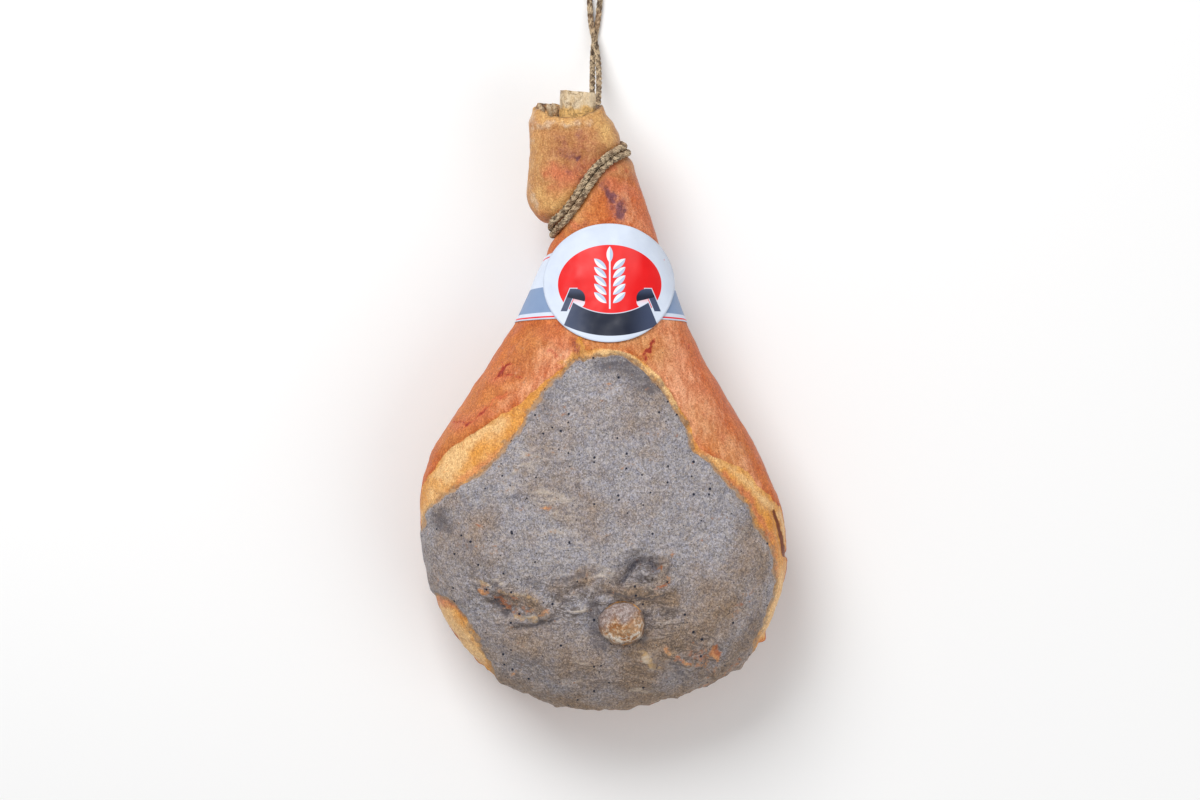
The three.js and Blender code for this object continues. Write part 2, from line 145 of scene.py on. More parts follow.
# Stains and colour changes of the rind and fat, by layer: strength, half width, softness and line.
LEG_STAINS = {
    "bruise_and_groove_shade": [
        (0.95, 2.6, 4.0, [(5, 189), (10, 181)]), (0.95, 2.6, 4.0, [(15, 174), (17, 167)]),
        (0.5, 3.0, 7.0, [(2, 192), (16, 164)]), (0.4, 4.0, 8.0, [(-34, 226), (-20, 216), (-24, 206)]),
        (0.3, 3.0, 7.0, [(-8, 226), (-6, 214)]), (1.2, 1.2, 2.0, [(-19.8, 217.6)]),
        (0.45, 2.5, 6.0, [(-34, 212), (-29, 205)]), (0.9, 3.5, 5.0, [(-16, 199), (-6, 204)]),
        (0.35, 2.0, 6.0, [(-32, 228), (-30, 220)]), (0.35, 2.0, 5.0, [(-22, 240), (-20, 226)]),
        # The last mark on the next line is painted shade in the groove left of the fat fold, in the bruise
        # colours.
        (0.45, 1.5, 4.0, [(-18, 162)]), (0.5, 0.8, 1.8, [(-25.5, 53), (-24, 44), (-21.5, 37)]),
        (0.4, 1.5, 4.0, [(24, 150), (30, 138)]),
    ],
    "rose": [
        (0.9, 5.0, 9.0, [(-46, 206), (-26, 200)]), (0.9, 3.0, 7.0, [(10, 196), (28, 186)]),
        (0.9, 2.0, 6.0, [(-34, 166), (-24, 160)]), (0.7, 3.0, 8.0, [(-96, 20), (-78, 28)]),
        (0.7, 3.0, 8.0, [(-132, -22), (-104, -12)]),
        (0.8, 3.5, 6.0, [(-146, -180), (-130, -186), (-118, -194)]),
        (0.7, 5.0, 10.0, [(-40, 196), (-16, 206), (2, 214)]), (0.6, 4.0, 9.0, [(30, 182), (44, 142)]),
        (0.5, 4.0, 10.0, [(-52, 60), (-30, 52)]), (0.5, 8.0, 20.0, [(70, 50), (110, -20)]),
        (0.6, 3.0, 6.0, [(147, -120), (154, -136), (157, -158)]), (0.5, 2.5, 5.0, [(84, -36), (92, -50)]),
        (0.8, 2.5, 4.0, [(100, -62), (113, -71), (131, -88), (142, -111), (152, -127)]),
        (0.5, 2.0, 5.0, [(-84, -36), (-104, -56), (-130, -74)]),
        (0.5, 2.5, 6.0, [(-150, -92), (-132, -80)]),
    ],
    "vein": [
        (0.95, 0.8, 0.6, [(-82, 34.5), (-88, 29), (-94.5, 20.5)]),
        (0.75, 0.8, 0.6, [(-93, 23), (-86, 24), (-76, 21.5)]), (0.6, 0.7, 0.6, [(-88, 29), (-91, 34)]),
        (0.8, 0.8, 0.6, [(-134, -18.5), (-127, -20), (-121, -21.5)]),
        (0.95, 0.9, 0.9, [(-123.5, -22.6), (-119, -19.7)]),
        (0.65, 0.8, 0.6, [(-119, -19.7), (-112, -15.6), (-103, -8)]),
        (0.45, 0.8, 1.5, [(-104, -8), (-96, 2), (-84, 8)]), (0.6, 0.8, 2.0, [(-46.4, 42.8), (-43, 38)]),
        (1.0, 0.9, 1.2, [(44, 55), (41, 51), (43, 47)]), (1.0, 0.9, 1.2, [(42, 47), (39, 42), (40.5, 37)]),
        (0.8, 0.9, 0.9, [(76, 45.5), (79, 46)]), (0.8, 1.0, 2.5, [(22, 207)]),
        (0.55, 1.5, 3.0, [(145.5, -218)]),
    ],
    "cream": [
        (1.1, 2.0, 2.0, [(160.5, -100), (165, -115), (168, -132), (169, -150)]),
        (1.0, 4.0, 7.0, [(-92, -20), (-110, -31), (-128, -43), (-140, -58), (-143, -68)]),
        (0.7, 2.0, 5.0, [(-96, -58), (-84, -46)]),
        (1.0, 1.8, 2.4, [(-4, 43), (8, 44.5), (18, 42), (28, 37.5), (38, 28.5), (47, 20), (57, 8), (66, -7)]),
        (0.5, 2.5, 5.0, [(114, -60), (130, -72), (146, -92)]), (0.9, 4.0, 8.0, [(-150, -90), (-162, -118)]),
        (1.3, 6.0, 7.0, [(-146, -192), (-132, -214), (-118, -232)]),
        (1.2, 5.0, 7.0, [(168, -160), (160, -185), (150, -205)]),
        (0.8, 1.5, 3.0, [(96, -50), (110, -58), (126, -68), (142, -86), (152, -96)]),
    ],
    "salt": [
        (0.75, 1.5, 3.0, [(-66, 258), (-66, 242), (-65, 236)]),
        (0.7, 1.5, 4.0, [(-68, 198), (-64, 182), (-58, 172)]),
        (0.72, 1.8, 4.5, [(-58, 249), (-40, 249.5), (-26, 250), (-13, 251)]),
        (0.4, 3.0, 6.0, [(-80, 28), (-73, 24)]), (0.35, 1.0, 3.0, [(-104, -1), (-98, 4)]),
        (0.4, 2.0, 5.0, [(-36, 30), (-40, 44)]),
    ],
    "pale": [
        (0.9, 12.0, 14.0, [(62, 28), (78, 4), (90, -16)]),
        (0.8, 9.0, 14.0, [(-48, 40), (-72, 16), (-96, -8)]), (0.6, 5.0, 9.0, [(16, 188), (24, 170)]),
        (0.5, 8.0, 12.0, [(-20, 70), (24, 58)]),
    ],
    "amber": [
        (0.5, 6.0, 12.0, [(88, -14), (104, -36), (122, -54)]), (0.6, 6.0, 14.0, [(-40, 188), (-24, 184)]),
        (0.7, 6.0, 10.0, [(-14, 58), (30, 56), (52, 40)]),
        (0.5, 6.0, 18.0, [(-60, 52), (-100, 8), (-140, -38)]),
    ],
    "fold": [
        (1.0, 1.5, 2.5, [(-21.5, 54), (-20, 44), (-16.5, 35)]), (0.62, 4.0, 6.0, [(-36, 32), (-28, 40)]),
    ],
    "glow": [
        (1.0, 7.0, 14.0, [(-54, 182), (-34, 172)]), (0.6, 5.0, 12.0, [(-64, 236), (-62, 200)]),
        (1.2, 5.0, 7.0, [(-8, 260), (1, 252), (5, 240)]),
        (1.1, 4.0, 6.0, [(-64, 260), (-50, 256), (-30, 254), (-10, 257)]),
    ],
}  # fmt: skip

# Stains and colour changes of the paste, in the same form. The shade and navy layers are painted shade in its
# dents, creases and hollow, and the cream layer is pale fat bits and painted highlights on its ridges.
PASTE_STAINS = {
    "warm": [
        (0.75, 12.0, 20.0, [(36, -226), (80, -226), (112, -186)]),
        (0.6, 10.0, 18.0, [(-70, -212), (-20, -240), (40, -250)]),
        (0.8, 4.0, 8.0, [(8, -171), (34, -177), (60, -178)]), (0.7, 3.5, 8.0, [(-40, -172), (-16, -160)]),
        (0.85, 4.0, 7.0, [(-90, -176), (-70, -180), (-54, -190)]),
        (0.5, 5.0, 10.0, [(-116, -112), (-100, -106)]),
        (0.45, 6.0, 14.0, [(134, -140), (140, -178), (126, -214)]),
        (0.5, 3.0, 8.0, [(-146, -100), (-134, -90)]), (0.4, 10.0, 18.0, [(40, 6), (30, -12)]),
        (0.9, 6.0, 12.0, [
            (-124, -222), (-92, -256), (-40, -276), (20, -280), (70, -270), (112, -246), (138, -210),
        ]),
        (0.7, 2.5, 5.0, [(54, -144), (57, -154), (52, -164)]),
    ],
    "rust": [
        (0.85, 0.5, 1.6, [(-53, -97.5), (-48, -98.5), (-43, -98)]),
        (0.45, 0.4, 1.6, [(-78, -97), (-70, -99)]), (0.4, 1.0, 3.5, [(-113, -110), (-109, -113)]),
        (0.85, 0.9, 2.4, [(-108, -167), (-105, -172)]),
        (0.55, 0.9, 2.5, [(-70, -172), (-58, -178), (-50, -184), (-48, -190)]),
        (0.95, 1.8, 4.0, [(-96, -178), (-86, -184), (-76, -192)]),
        (0.5, 5.0, 8.0, [(-92, -178), (-58, -188)]),
        (0.6, 0.8, 2.2, [(-78, -198), (-62, -196), (-52, -193)]),
        (0.75, 1.0, 2.6, [(51, -148), (54, -151)]), (0.8, 0.9, 2.4, [(59, -158), (56, -164), (48, -168)]),
        (0.5, 1.0, 3.0, [(4, -170), (8, -176)]), (1.0, 1.4, 3.0, [(56, -224), (58.5, -230)]),
        (1.1, 1.2, 2.2, [(67, -233), (71, -238), (77, -239)]), (0.7, 1.0, 2.0, [(79, -240), (86, -238)]),
        (1.2, 1.8, 3.0, [(100, -224), (102, -233)]), (0.9, 1.0, 2.6, [(102, -233), (97, -246)]),
        (0.7, 1.0, 2.6, [(92, -226), (90, -236), (94, -244)]), (0.6, 6.0, 8.0, [(84, -228), (96, -237)]),
        (0.5, 1.0, 2.2, [(-60, -276), (-20, -283), (20, -282), (60, -274)]),
        (0.5, 1.0, 2.2, [(88, -262), (104, -256), (122, -236)]),
        (0.35, 3.0, 6.0, [(120, -188), (128, -176)]), (0.35, 2.5, 6.0, [(-96, -206), (-84, -204)]),
        (0.5, 1.2, 4.0, [(-80, -246), (-76, -243)]), (0.45, 0.8, 2.0, [(5, 14), (3, 9)]),
        (0.5, 0.7, 3.0, [(86, -274), (108, -258)]), (0.6, 0.7, 2.2, [(-11, -189), (-16, -192)]),
    ],
    "gold": [
        (0.9, 1.6, 3.0, [(36, -226), (40, -233), (47, -240)]), (0.9, 1.2, 2.4, [(57, -227), (60, -231)]),
        (0.8, 1.2, 2.5, [(72, -237), (78, -241)]), (0.6, 1.0, 2.4, [(-92, -172), (-74, -175), (-60, -182)]),
        (0.8, 1.5, 3.0, [(-76, -194), (-60, -198)]), (0.5, 1.2, 3.0, [(-112, -160), (-104, -166)]),
        (0.6, 1.2, 3.0, [(49, -147), (53, -151)]), (0.5, 0.8, 2.0, [(47, -151), (51, -154)]),
    ],
    # cream: pale fat bits, and painted highlights on the ridges and lips of the face.
    "cream": [
        (0.8, 0.8, 2.0, [(-27, -188.5), (-17, -190.5)]), (0.6, 0.5, 1.6, [(-18, -186), (-13, -191)]),
        (0.7, 1.0, 2.6, [(-76, -173), (-70, -174)]), (0.9, 1.2, 3.0, [(-70, -193), (-60, -197)]),
        (0.6, 1.0, 2.6, [(-98, -162), (-92, -163)]), (0.55, 1.4, 3.0, [(38, -229), (38, -234)]),
        (0.5, 0.8, 3.0, [(42, -238), (52, -244)]), (0.7, 0.7, 2.0, [(26, -166.5), (34, -168), (42, -167)]),
        (0.5, 0.7, 2.0, [(50, -171), (58, -171)]), (0.7, 1.2, 2.6, [(91, -247), (97, -243)]),
        (0.45, 3.0, 7.0, [(-2, -156), (8, -143), (17, -133)]), (0.4, 2.0, 4.0, [(6, -160), (14, -150)]),
        (0.55, 0.7, 1.6, [(4, -168), (14, -172), (24, -170)]),
        (0.6, 0.7, 1.6, [(44, -163), (52, -158), (56, -150)]),
        (0.35, 12.0, 24.0, [(-70, -60), (-30, -110), (-60, -150)]),
        (0.45, 1.0, 4.0, [(-26, -232), (-8, -244), (-22, -252)]), (0.5, 1.5, 4.0, [(26, -262), (50, -266)]),
        (0.4, 1.0, 3.0, [(128, -112), (124, -124)]),
    ],
    # shade: painted shade in the dents, ditches and fold lines.
    "shade": [
        (0.75, 6.0, 14.0, [(2, 32), (26, 28), (40, 12)]), (0.5, 6.0, 16.0, [(-40, 12), (-52, -2)]),
        (0.6, 0.9, 1.6, [(30, -158), (36, -157), (41, -160)]),
        (0.5, 0.8, 1.6, [(36, -149), (42, -150), (44, -155)]),
        (0.8, 1.4, 3.0, [(-5, -196), (-4, -206), (2, -214)]),
        (0.7, 1.2, 3.0, [(39, -190), (41, -202), (37, -212)]),
        (0.75, 3.5, 8.0, [(-8, -188), (-8, -206), (0, -222)]),
        (0.6, 3.0, 6.0, [(38, -194), (42, -208), (34, -218)]), (1.1, 2.5, 4.0, [(-97, -183), (-89, -190)]),
        (0.75, 0.8, 1.6, [(-116, -166), (-98, -176), (-84, -178)]),
        (0.75, 0.8, 1.6, [(-84, -198), (-66, -204), (-44, -198), (-30, -190)]),
        (0.7, 0.8, 1.6, [(-46, -166), (-28, -160), (-8, -153), (0, -150)]),
        (0.6, 0.7, 1.6, [(-40, -172), (-22, -164)]), (0.6, 0.7, 1.6, [(-37, -180), (-20, -171)]),
        (0.8, 1.0, 2.0, [(4, -172), (26, -177), (52, -178)]), (0.6, 0.8, 2.0, [(46, -196), (64, -190)]),
        (0.6, 1.0, 2.5, [(62, -238), (74, -250)]), (0.5, 0.8, 2.0, [(-60, -234), (-44, -246)]),
        (0.75, 1.0, 2.6, [(-80, -204.5), (-64, -203.5)]), (0.65, 1.2, 3.0, [(-66, -164), (-60, -166)]),
        (0.6, 1.0, 2.8, [(-98, -166), (-92, -167.5)]), (0.75, 3.0, 9.0, [(-146, -104), (-142, -114)]),
        (0.35, 3.0, 9.0, [(-128, -124), (-118, -136)]), (0.45, 5.0, 12.0, [(126, -106), (132, -118)]),
        (0.45, 4.0, 12.0, [(140, -196), (128, -222)]), (0.5, 1.0, 3.0, [(-42, -166), (-15, -156)]),
        (0.5, 1.0, 3.0, [(-33, -181), (-16, -170)]), (0.45, 4.0, 10.0, [(46, -242), (64, -256)]),
    ],
    # navy: painted shade, dark blue grey, in the trenches of the hollow above the thigh bone's head.
    "navy": [
        (0.95, 1.9, 2.6, [(18, -164), (23, -157), (25, -150), (33, -145)]),
        (0.8, 1.8, 3.0, [(36, -144), (45, -145), (49, -152)]), (0.55, 1.5, 2.4, [(27, -162), (36, -162.5)]),
        (0.3, 4.0, 5.0, [(30, -152), (34, -157)]), (0.35, 2.0, 4.0, [(20, -150), (27, -141), (36, -139)]),
    ],
}  # fmt: skip

# The cord. Its free legs, from the sling to the knot, repeat the frame's route.
CORD_LEGS = {
    "cord_leg_1": [
        (-10.8, 257, 46.5), (-10.3, 267, 43.6), (-9.9, 278, 38), (-9.7, 291, 28), (-9.6, 304, 17),
        (-9.3, 318, 8), (-8, 330, 4), (-6.2, 341, 3), (-4.4, 352, 3), (-3.2, 364, 3), (-2, 376, 3),
        (1.5, 388, 3), (5.2, 401, 3), (6.6, 414, 3), (5, 426, 3.2), (1, 436, 4.5),
    ],
    "cord_leg_2": [
        (-5.3, 257.6, 48.9), (-4.6, 267, 45.6), (-4, 278, 39.6), (-3.6, 291, 29.6), (-3.9, 304, 20.4),
        (-5.2, 318, 13.4), (-7.4, 330, 10.3), (-10, 341, 8), (-11.4, 352, 5), (-12, 364, 3.2),
        (-13, 376, 3), (-16.5, 388, 3), (-19.8, 401, 3), (-20.8, 414, 3), (-18, 426, 3.2), (-12, 436, 4.5),
    ],
}  # fmt: skip
# The sling's pair of strands by its middle line: turn about the hock in degrees, place along the
# hock, and lift off the rind. A turn of 0 is the right side, 90 the face and 270 the rind side.
SLING_PAIR = [
    (302.5, 256, 6.4), (301.5, 251, 6), (300, 246, 4), (298, 240, 0.8), (294, 231, 0), (286, 220, 0),
    (273, 206, 0), (256, 192, 0), (238, 177, 0), (218, 163, 0), (198, 154, 0), (180, 153, 0),
    (163, 155.5, 0), (146, 160, 0), (128, 167, 0), (110, 179, 0), (92, 192, 0), (74, 204, 0),
    (54, 215, 0), (34, 222, 0), (14, 226, 0), (-6, 228, 0), (-24, 230, 0.6),
]  # fmt: skip
BIGHT = [
    (-37, 226, 3), (-46, 227, 6), (-56, 228.5, 6.4), (-66, 230.5, 6.4), (-75, 234.5, 4.4), (-79, 240, 2),
    (-76, 246, 0), (-67, 250, 0), (-56, 250.5, 0), (-46, 247, 0), (-37, 241, 0),
]  # fmt: skip
HOCK_AXIS = ((0, 130, 82), (-32, 260, 84))
STRAND_APART = 6.1
SLING_THICKER = 1.16  # the cord opens out where it's pressed on the rind

# ------------------------------------------------------------------ settings


class LegSettings(PropertyGroup):
    voxel: FloatProperty(
        name="Skin mesh size", description="Edge length of the leg's mesh", default=0.0022, unit="LENGTH"
    )
    rind: FloatVectorProperty(
        name="Rind", description="Deep colour of the rind", subtype="COLOR", default=(0.57, 0.122, 0.022)
    )
    rind_pale: FloatVectorProperty(
        name="Pale rind", description="Pale colour of the rind", subtype="COLOR", default=(0.82, 0.40, 0.24)
    )
    rind_tan: FloatVectorProperty(
        name="Hock rind", description="Colour of the rind at the hock",
        subtype="COLOR", default=(0.50, 0.245, 0.095),
    )
    fat: FloatVectorProperty(
        name="Fat", description="Deep colour of the trimmed fat", subtype="COLOR", default=(0.73, 0.308, 0.05)
    )
    fat_pale: FloatVectorProperty(
        name="Pale fat", description="Pale colour of the trimmed fat",
        subtype="COLOR", default=(0.86, 0.55, 0.26),
    )
    bone: FloatVectorProperty(
        name="Bone", description="Colour of the sawn bone", subtype="COLOR", default=(0.76, 0.61, 0.42)
    )


class PasteSettings(PropertyGroup):
    voxel: FloatProperty(
        name="Paste mesh size", description="Edge length of the paste's mesh", default=0.00155, unit="LENGTH"
    )
    thickness: FloatProperty(
        name="Thickness", description="How far the paste stands off the leg", default=0.0028, unit="LENGTH"
    )
    cool: FloatVectorProperty(
        name="Cool grey", description="Colour of fresh paste", subtype="COLOR", default=(0.335, 0.315, 0.325)
    )
    warm: FloatVectorProperty(
        name="Warm grey", description="Colour of paste rubbed thin",
        subtype="COLOR", default=(0.285, 0.205, 0.145),
    )


class PaperSettings(PropertyGroup):
    thickness: FloatProperty(
        name="Thickness", description="Thickness of the band and the label", default=0.0004, unit="LENGTH"
    )
    white: FloatVectorProperty(
        name="White", description="Colour of the paper", subtype="COLOR", default=(0.665, 0.735, 0.85)
    )
    red: FloatVectorProperty(
        name="Red", description="Colour of the printed oval and lines",
        subtype="COLOR", default=(0.80, 0.006, 0.008),
    )
    blue: FloatVectorProperty(
        name="Blue grey", description="Colour of the band's field",
        subtype="COLOR", default=(0.225, 0.32, 0.50),
    )
    navy: FloatVectorProperty(
        name="Navy", description="Colour of the ribbon", subtype="COLOR", default=(0.008, 0.013, 0.032)
    )


class CordSettings(PropertyGroup):
    diameter: FloatProperty(
        name="Diameter", description="Diameter of one twisted cord", default=0.0055, unit="LENGTH"
    )
    lay: FloatProperty(
        name="Lay", description="Length of one full twist of the strands", default=0.017, unit="LENGTH"
    )
    sides: IntProperty(name="Sides", description="Sides of one strand of the cord", default=8)
    pale: FloatVectorProperty(
        name="Pale fibre", description="Colour of the clean fibre",
        subtype="COLOR", default=(0.90, 0.70, 0.46),
    )
    dark: FloatVectorProperty(
        name="Dark fibre", description="Colour of the stained fibre",
        subtype="COLOR", default=(0.06, 0.034, 0.022),
    )


class StageSettings(PropertyGroup):
    height: FloatProperty(
        name="Camera height", description="Height of the camera over the ham's rim", default=5, unit="LENGTH"
    )
    field: FloatProperty(
        name="Field width", description="Width that the camera sees at the rim's height",
        default=1.0908, unit="LENGTH",
    )
    rim: FloatProperty(name="Rim height", description="Height of the ham's rim", default=0.075, unit="LENGTH")
    key: FloatProperty(
        name="Key light", description="Power of the large soft light", default=53, unit="POWER"
    )
    floor: FloatVectorProperty(
        name="Floor", description="Colour of the floor", subtype="COLOR", default=(0.93, 0.93, 0.93)
    )


class HamSettings(PropertyGroup):
    leg: PointerProperty(type=LegSettings)
    paste: PointerProperty(type=PasteSettings)
    paper: PointerProperty(type=PaperSettings)
    cord: PointerProperty(type=CordSettings)
    stage: PointerProperty(type=StageSettings)


def settings():
    """The ham's settings, from the sidebar."""
    return bpy.context.scene.cured_ham


# ------------------------------------------------------------------ numbers over many points


def smoothstep(low, high, value):
    """0 at low and 1 at high, with a smooth rise between them. It falls when high is below low."""
    share = np.clip((value - low) / (high - low), 0, 1)
    return share * share * (3 - 2 * share)


def lattice_noise(points, size, seed):
    """Smooth noise from -1 to 1 with lumps about size apart."""
    place = points / size + 31.7 * (seed + 1)
    cell = np.floor(place).astype(np.int64)
    share = place - cell
    share = share * share * (3 - 2 * share)
    total = np.zeros(len(points))
    for corner in itertools.product((0, 1), repeat=3):
        mixed = (cell + corner) @ np.array([73856093, 19349663, 83492791]) + seed * 2654435761
        mixed = (mixed ^ (mixed >> 13)) * 1274126177 & 0x7FFFFFFF
        value = ((mixed ^ (mixed >> 15)) & 0xFFFF) / 32767.5 - 1
        total += value * np.prod(np.where(corner, share, 1 - share), axis=1)
    return total


TURN = np.array([[0.36, 0.48, -0.8], [-0.8, 0.6, 0], [0.48, 0.64, 0.6]])


def noise(points, size, seed=0, octaves=2):
    """Lattice noise with finer layers on it, each turned so that no grid shows."""
    total, strength = 0, 1
    for octave in range(octaves):
        total = total + strength * lattice_noise(points, size * 0.5**octave, seed + 7 * octave)
        points = points @ TURN.T
        strength *= 0.5
    return total


def distance_to(line, points):
    """How far each point is from the line through the given corners."""
    line = np.array(line, float)
    if len(line) == 1:
        return np.linalg.norm(points - line[0], axis=1)
    best = np.full(len(points), np.inf)
    for start, end in zip(line, line[1:]):
        run = end - start
        share = np.clip((points - start) @ run / (run @ run), 0, 1)
        best = np.minimum(best, np.linalg.norm(points - start - share[:, None] * run, axis=1))
    return best


def smooth_line(corners, pieces=4, closed=False):
    """Points on a smooth curve through the corners, pieces for each span."""
    corners = np.array(corners, float)
    if closed:
        padded = np.vstack([corners[-1], corners, corners[:2]])
    else:
        padded = np.vstack([2 * corners[0] - corners[1], corners, 2 * corners[-1] - corners[-2]])
    made = []
    for a, b, c, d in zip(padded, padded[1:], padded[2:], padded[3:]):
        for share in np.arange(pieces) / pieces:
            made.append(
                0.5
                * (
                    2 * b
                    + (c - a) * share
                    + (2 * a - 5 * b + 4 * c - d) * share**2
                    + (3 * b - a - 3 * c + d) * share**3
                )
            )
    if not closed:
        made.append(corners[-1])
    return np.array(made)


def inside_by(outline, points):
    """How far each point lies inside a closed outline, negative outside it."""
    outline = smooth_line(outline, 3, closed=True)
    ends = np.roll(outline, -1, axis=0)
    within = np.zeros(len(points), bool)
    for (x0, y0), (x1, y1) in zip(outline, ends):
        spans = (y0 > points[:, 1]) != (y1 > points[:, 1])
        if spans.any():
            crossing = x0 + (points[:, 1] - y0) / (y1 - y0) * (x1 - x0)
            within ^= spans & (points[:, 0] < crossing)
    distance = distance_to(np.vstack([outline, outline[:1]]), points)
    return np.where(within, distance, -distance)


def wandering(points, share=1.0):
    """Places seen from above, each moved a little, so that drawn edges turn ragged."""
    moves = [lumps(points, (2.8, 15, 61 + i), (2.4, 5.5, 71 + i)) for i in range(2)]
    return points[:, :2] + share * np.stack(moves, axis=1)


def ridges(points, size, seed):
    """Noise folded over, so that it has sharp crests."""
    return 1 - 2 * np.abs(noise(points, size, seed=seed))


def hump(distance, width):
    """1 at no distance, falling off smoothly to little at twice the width."""
    return np.exp(-((distance / width) ** 2))


def lumps(points, *layers):
    """Noise in several layers, each with a strength, a size and a seed."""
    return sum(strength * noise(points, size, seed) for strength, size, seed in layers)


def relief(table, flat):
    """The summed height of a table's lifts and dents, in millimetres."""
    return sum(height * hump(distance_to(line, flat), width) for height, width, line in table)


def stains(table, flat):
    """The strength of each layer of a table's stains."""
    layers = {}
    for layer, marks in table.items():
        drawn = [k * hump(distance_to(line, flat), width + 0.7 * soft) for k, width, soft, line in marks]
        layers[layer] = np.maximum.reduce([np.zeros(len(flat)), *drawn])
    return layers


# ------------------------------------------------------------------ meshes


def points_of(piece, what="co"):
    """A mesh's points in millimetres, or its point normals."""
    values = np.zeros(3 * len(piece.data.vertices))
    piece.data.vertices.foreach_get(what, values)
    values = values.reshape(-1, 3)
    return values / MM if what == "co" else values


def set_points(piece, points):
    """Moves a mesh's points to places in millimetres."""
    piece.data.vertices.foreach_set("co", (points * MM).ravel())
    piece.data.update()


def paint(piece, **layers):
    """Stores layers of numbers on the points, for the materials to read."""
    for name, values in layers.items():
        attribute = piece.data.attributes.new(name, "FLOAT", "POINT")
        values = np.broadcast_to(values, len(piece.data.vertices)).astype(np.float32)
        attribute.data.foreach_set("value", values)


def push(piece, points, normals, height):
    """Moves the points along their normals by a height in millimetres."""
    points += height[:, None] * normals
    set_points(piece, points)


def set_mode(mode):
    bpy.ops.object.mode_set(mode=mode)


def select_none():
    bpy.ops.object.select_all(action="DESELECT")


def select_only(piece):
    select_none()
    piece.select_set(True)
    bpy.context.view_layer.objects.active = piece


def mesh_piece(name, points, faces):
    """A new mesh object from points in millimetres."""
    mesh = bpy.data.meshes.new(name)
    mesh.from_pydata([tuple(MM * np.array(p)) for p in points], [], faces)
    piece = bpy.data.objects.new(name, mesh)
    bpy.context.scene.collection.objects.link(piece)
    return piece


def named_and_sized(name, scale):
    """The primitive that was just added, with its name, and its place and size applied."""
    piece = bpy.context.object
    piece.name = name
    piece.scale = scale
    bpy.ops.object.transform_apply(location=True, rotation=True, scale=True)
    return piece


def apply_modifier(piece, kind, **values):
    """Adds a modifier with the given values and applies it."""
    select_only(piece)
    modifier = piece.modifiers.new(kind.title(), kind)
    for name, value in values.items():
        setattr(modifier, name, value)
    bpy.ops.object.modifier_apply(modifier=modifier.name)


def smooth_where(piece, share, repeats):
    """Smooths the mesh where share, a number for each point, is above 0."""
    group = piece.vertex_groups.new(name="smooth")
    for index in np.flatnonzero(share > 0.01):
        group.add([int(index)], float(share[index]), "REPLACE")
    apply_modifier(piece, "SMOOTH", factor=0.5, iterations=repeats, vertex_group="smooth")
    piece.vertex_groups.clear()


def finish_piece(piece, material, slot, *nodes):
    """Gives a finished piece its shading, material and body, and hides the CAD nodes it stands for. The slot
    is not used.
    """
    piece.data.materials.clear()
    piece.data.materials.append(material)
    piece.data.shade_smooth()
    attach(piece, BODY)
    if nodes:
        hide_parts(*nodes)


SMOOTHING_VOXEL = 0.002  # the mesh size that the numbers of smoothing steps are for


def leg_surface(name, voxel):
    """A smooth closed copy of the leg, with the thigh bone's head smoothed down."""
    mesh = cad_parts["ham_leg"].data.copy()
    piece = bpy.data.objects.new(name, mesh)
    bpy.context.scene.collection.objects.link(piece)
    select_only(piece)
    set_mode("EDIT")
    bpy.ops.mesh.select_all(action="SELECT")
    bpy.ops.mesh.remove_doubles(threshold=1e-6)
    bpy.ops.mesh.tris_convert_to_quads()
    set_mode("OBJECT")
    apply_modifier(piece, "SUBSURF", levels=2, render_levels=2)
    apply_modifier(piece, "REMESH", mode="VOXEL", voxel_size=voxel)
    points = points_of(piece)
    # the bone's stub is cut down to the sawn end, and is modelled as a piece of its own
    beyond = points[:, 1] - sawn_end(points)
    points[:, 1] -= np.maximum(beyond - 0.5, 0)
    set_points(piece, points)
    apply_modifier(piece, "REMESH", mode="VOXEL", voxel_size=voxel)
    points = points_of(piece)
    near_knob = smoothstep(46, 30, np.linalg.norm(points[:, :2] - KNOB, axis=1)) * (points[:, 2] > 90)
    steps = (SMOOTHING_VOXEL / voxel) ** 2
    smooth_where(piece, near_knob, int(260 * steps))
    away_from_end = smoothstep(252, 235, points_of(piece)[:, 1])
    smooth_where(piece, away_from_end, int(22 * steps))
    apply_modifier(piece, "SMOOTH", factor=0.5, iterations=int(5 * steps))
    return piece


def sawn_end(points):
    """How far along the hock the sawn end lies, at each point's height."""
    return SAWN["y"] - SAWN["slope"] * (points[:, 2] - SAWN["z"])


def face_height(points):
    """The lumps of the trimmed face, the same under the paste and on it, in millimetres."""
    flat = wandering(points, 0.55)
    from_knob = np.linalg.norm(flat - KNOB, axis=1)
    folded = creased(flat)
    return (
        1.15 * relief(FACE_RELIEF, flat)
        + lumps(points, (1.1, 44, 3), (0.5, 15, 4))
        + folded * (1.1 * ridges(points, 17, seed=55) + 0.6 * ridges(points, 8, seed=56))
        - 1.4 * smoothstep(27, 22, from_knob) * smoothstep(15, 20, from_knob)
    )


def paste_reach(points):
    """How far inside the paste's ragged edge each point lies, in millimetres."""
    edge = 1.3 + inside_by(PASTE_EDGE, points[:, :2]) + lumps(points, (1.7, 12, 17), (1.1, 4.5, 18))
    return np.minimum(edge, points[:, 2] - 67 - lumps(points, (4, 26, 19), (1.5, 7, 20)))


def butt_lumps(points):
    """The ragged lumps round the rim of the butt."""
    at_butt = smoothstep(-190, -235, points[:, 1]) * smoothstep(112, 92, points[:, 2])
    return at_butt * lumps(points, (2.0, 19, 15), (1.4, 8, 16))


def fuller_sides(points):
    """What the smoothing took off the leg's sides, put back."""
    low_left = hump(distance_to([(-140, -170, 66), (-112, -222, 66)], points), 26)
    return 1.3 * smoothstep(112, 84, points[:, 2]) * smoothstep(6, 30, points[:, 2]) + 1.4 * low_left


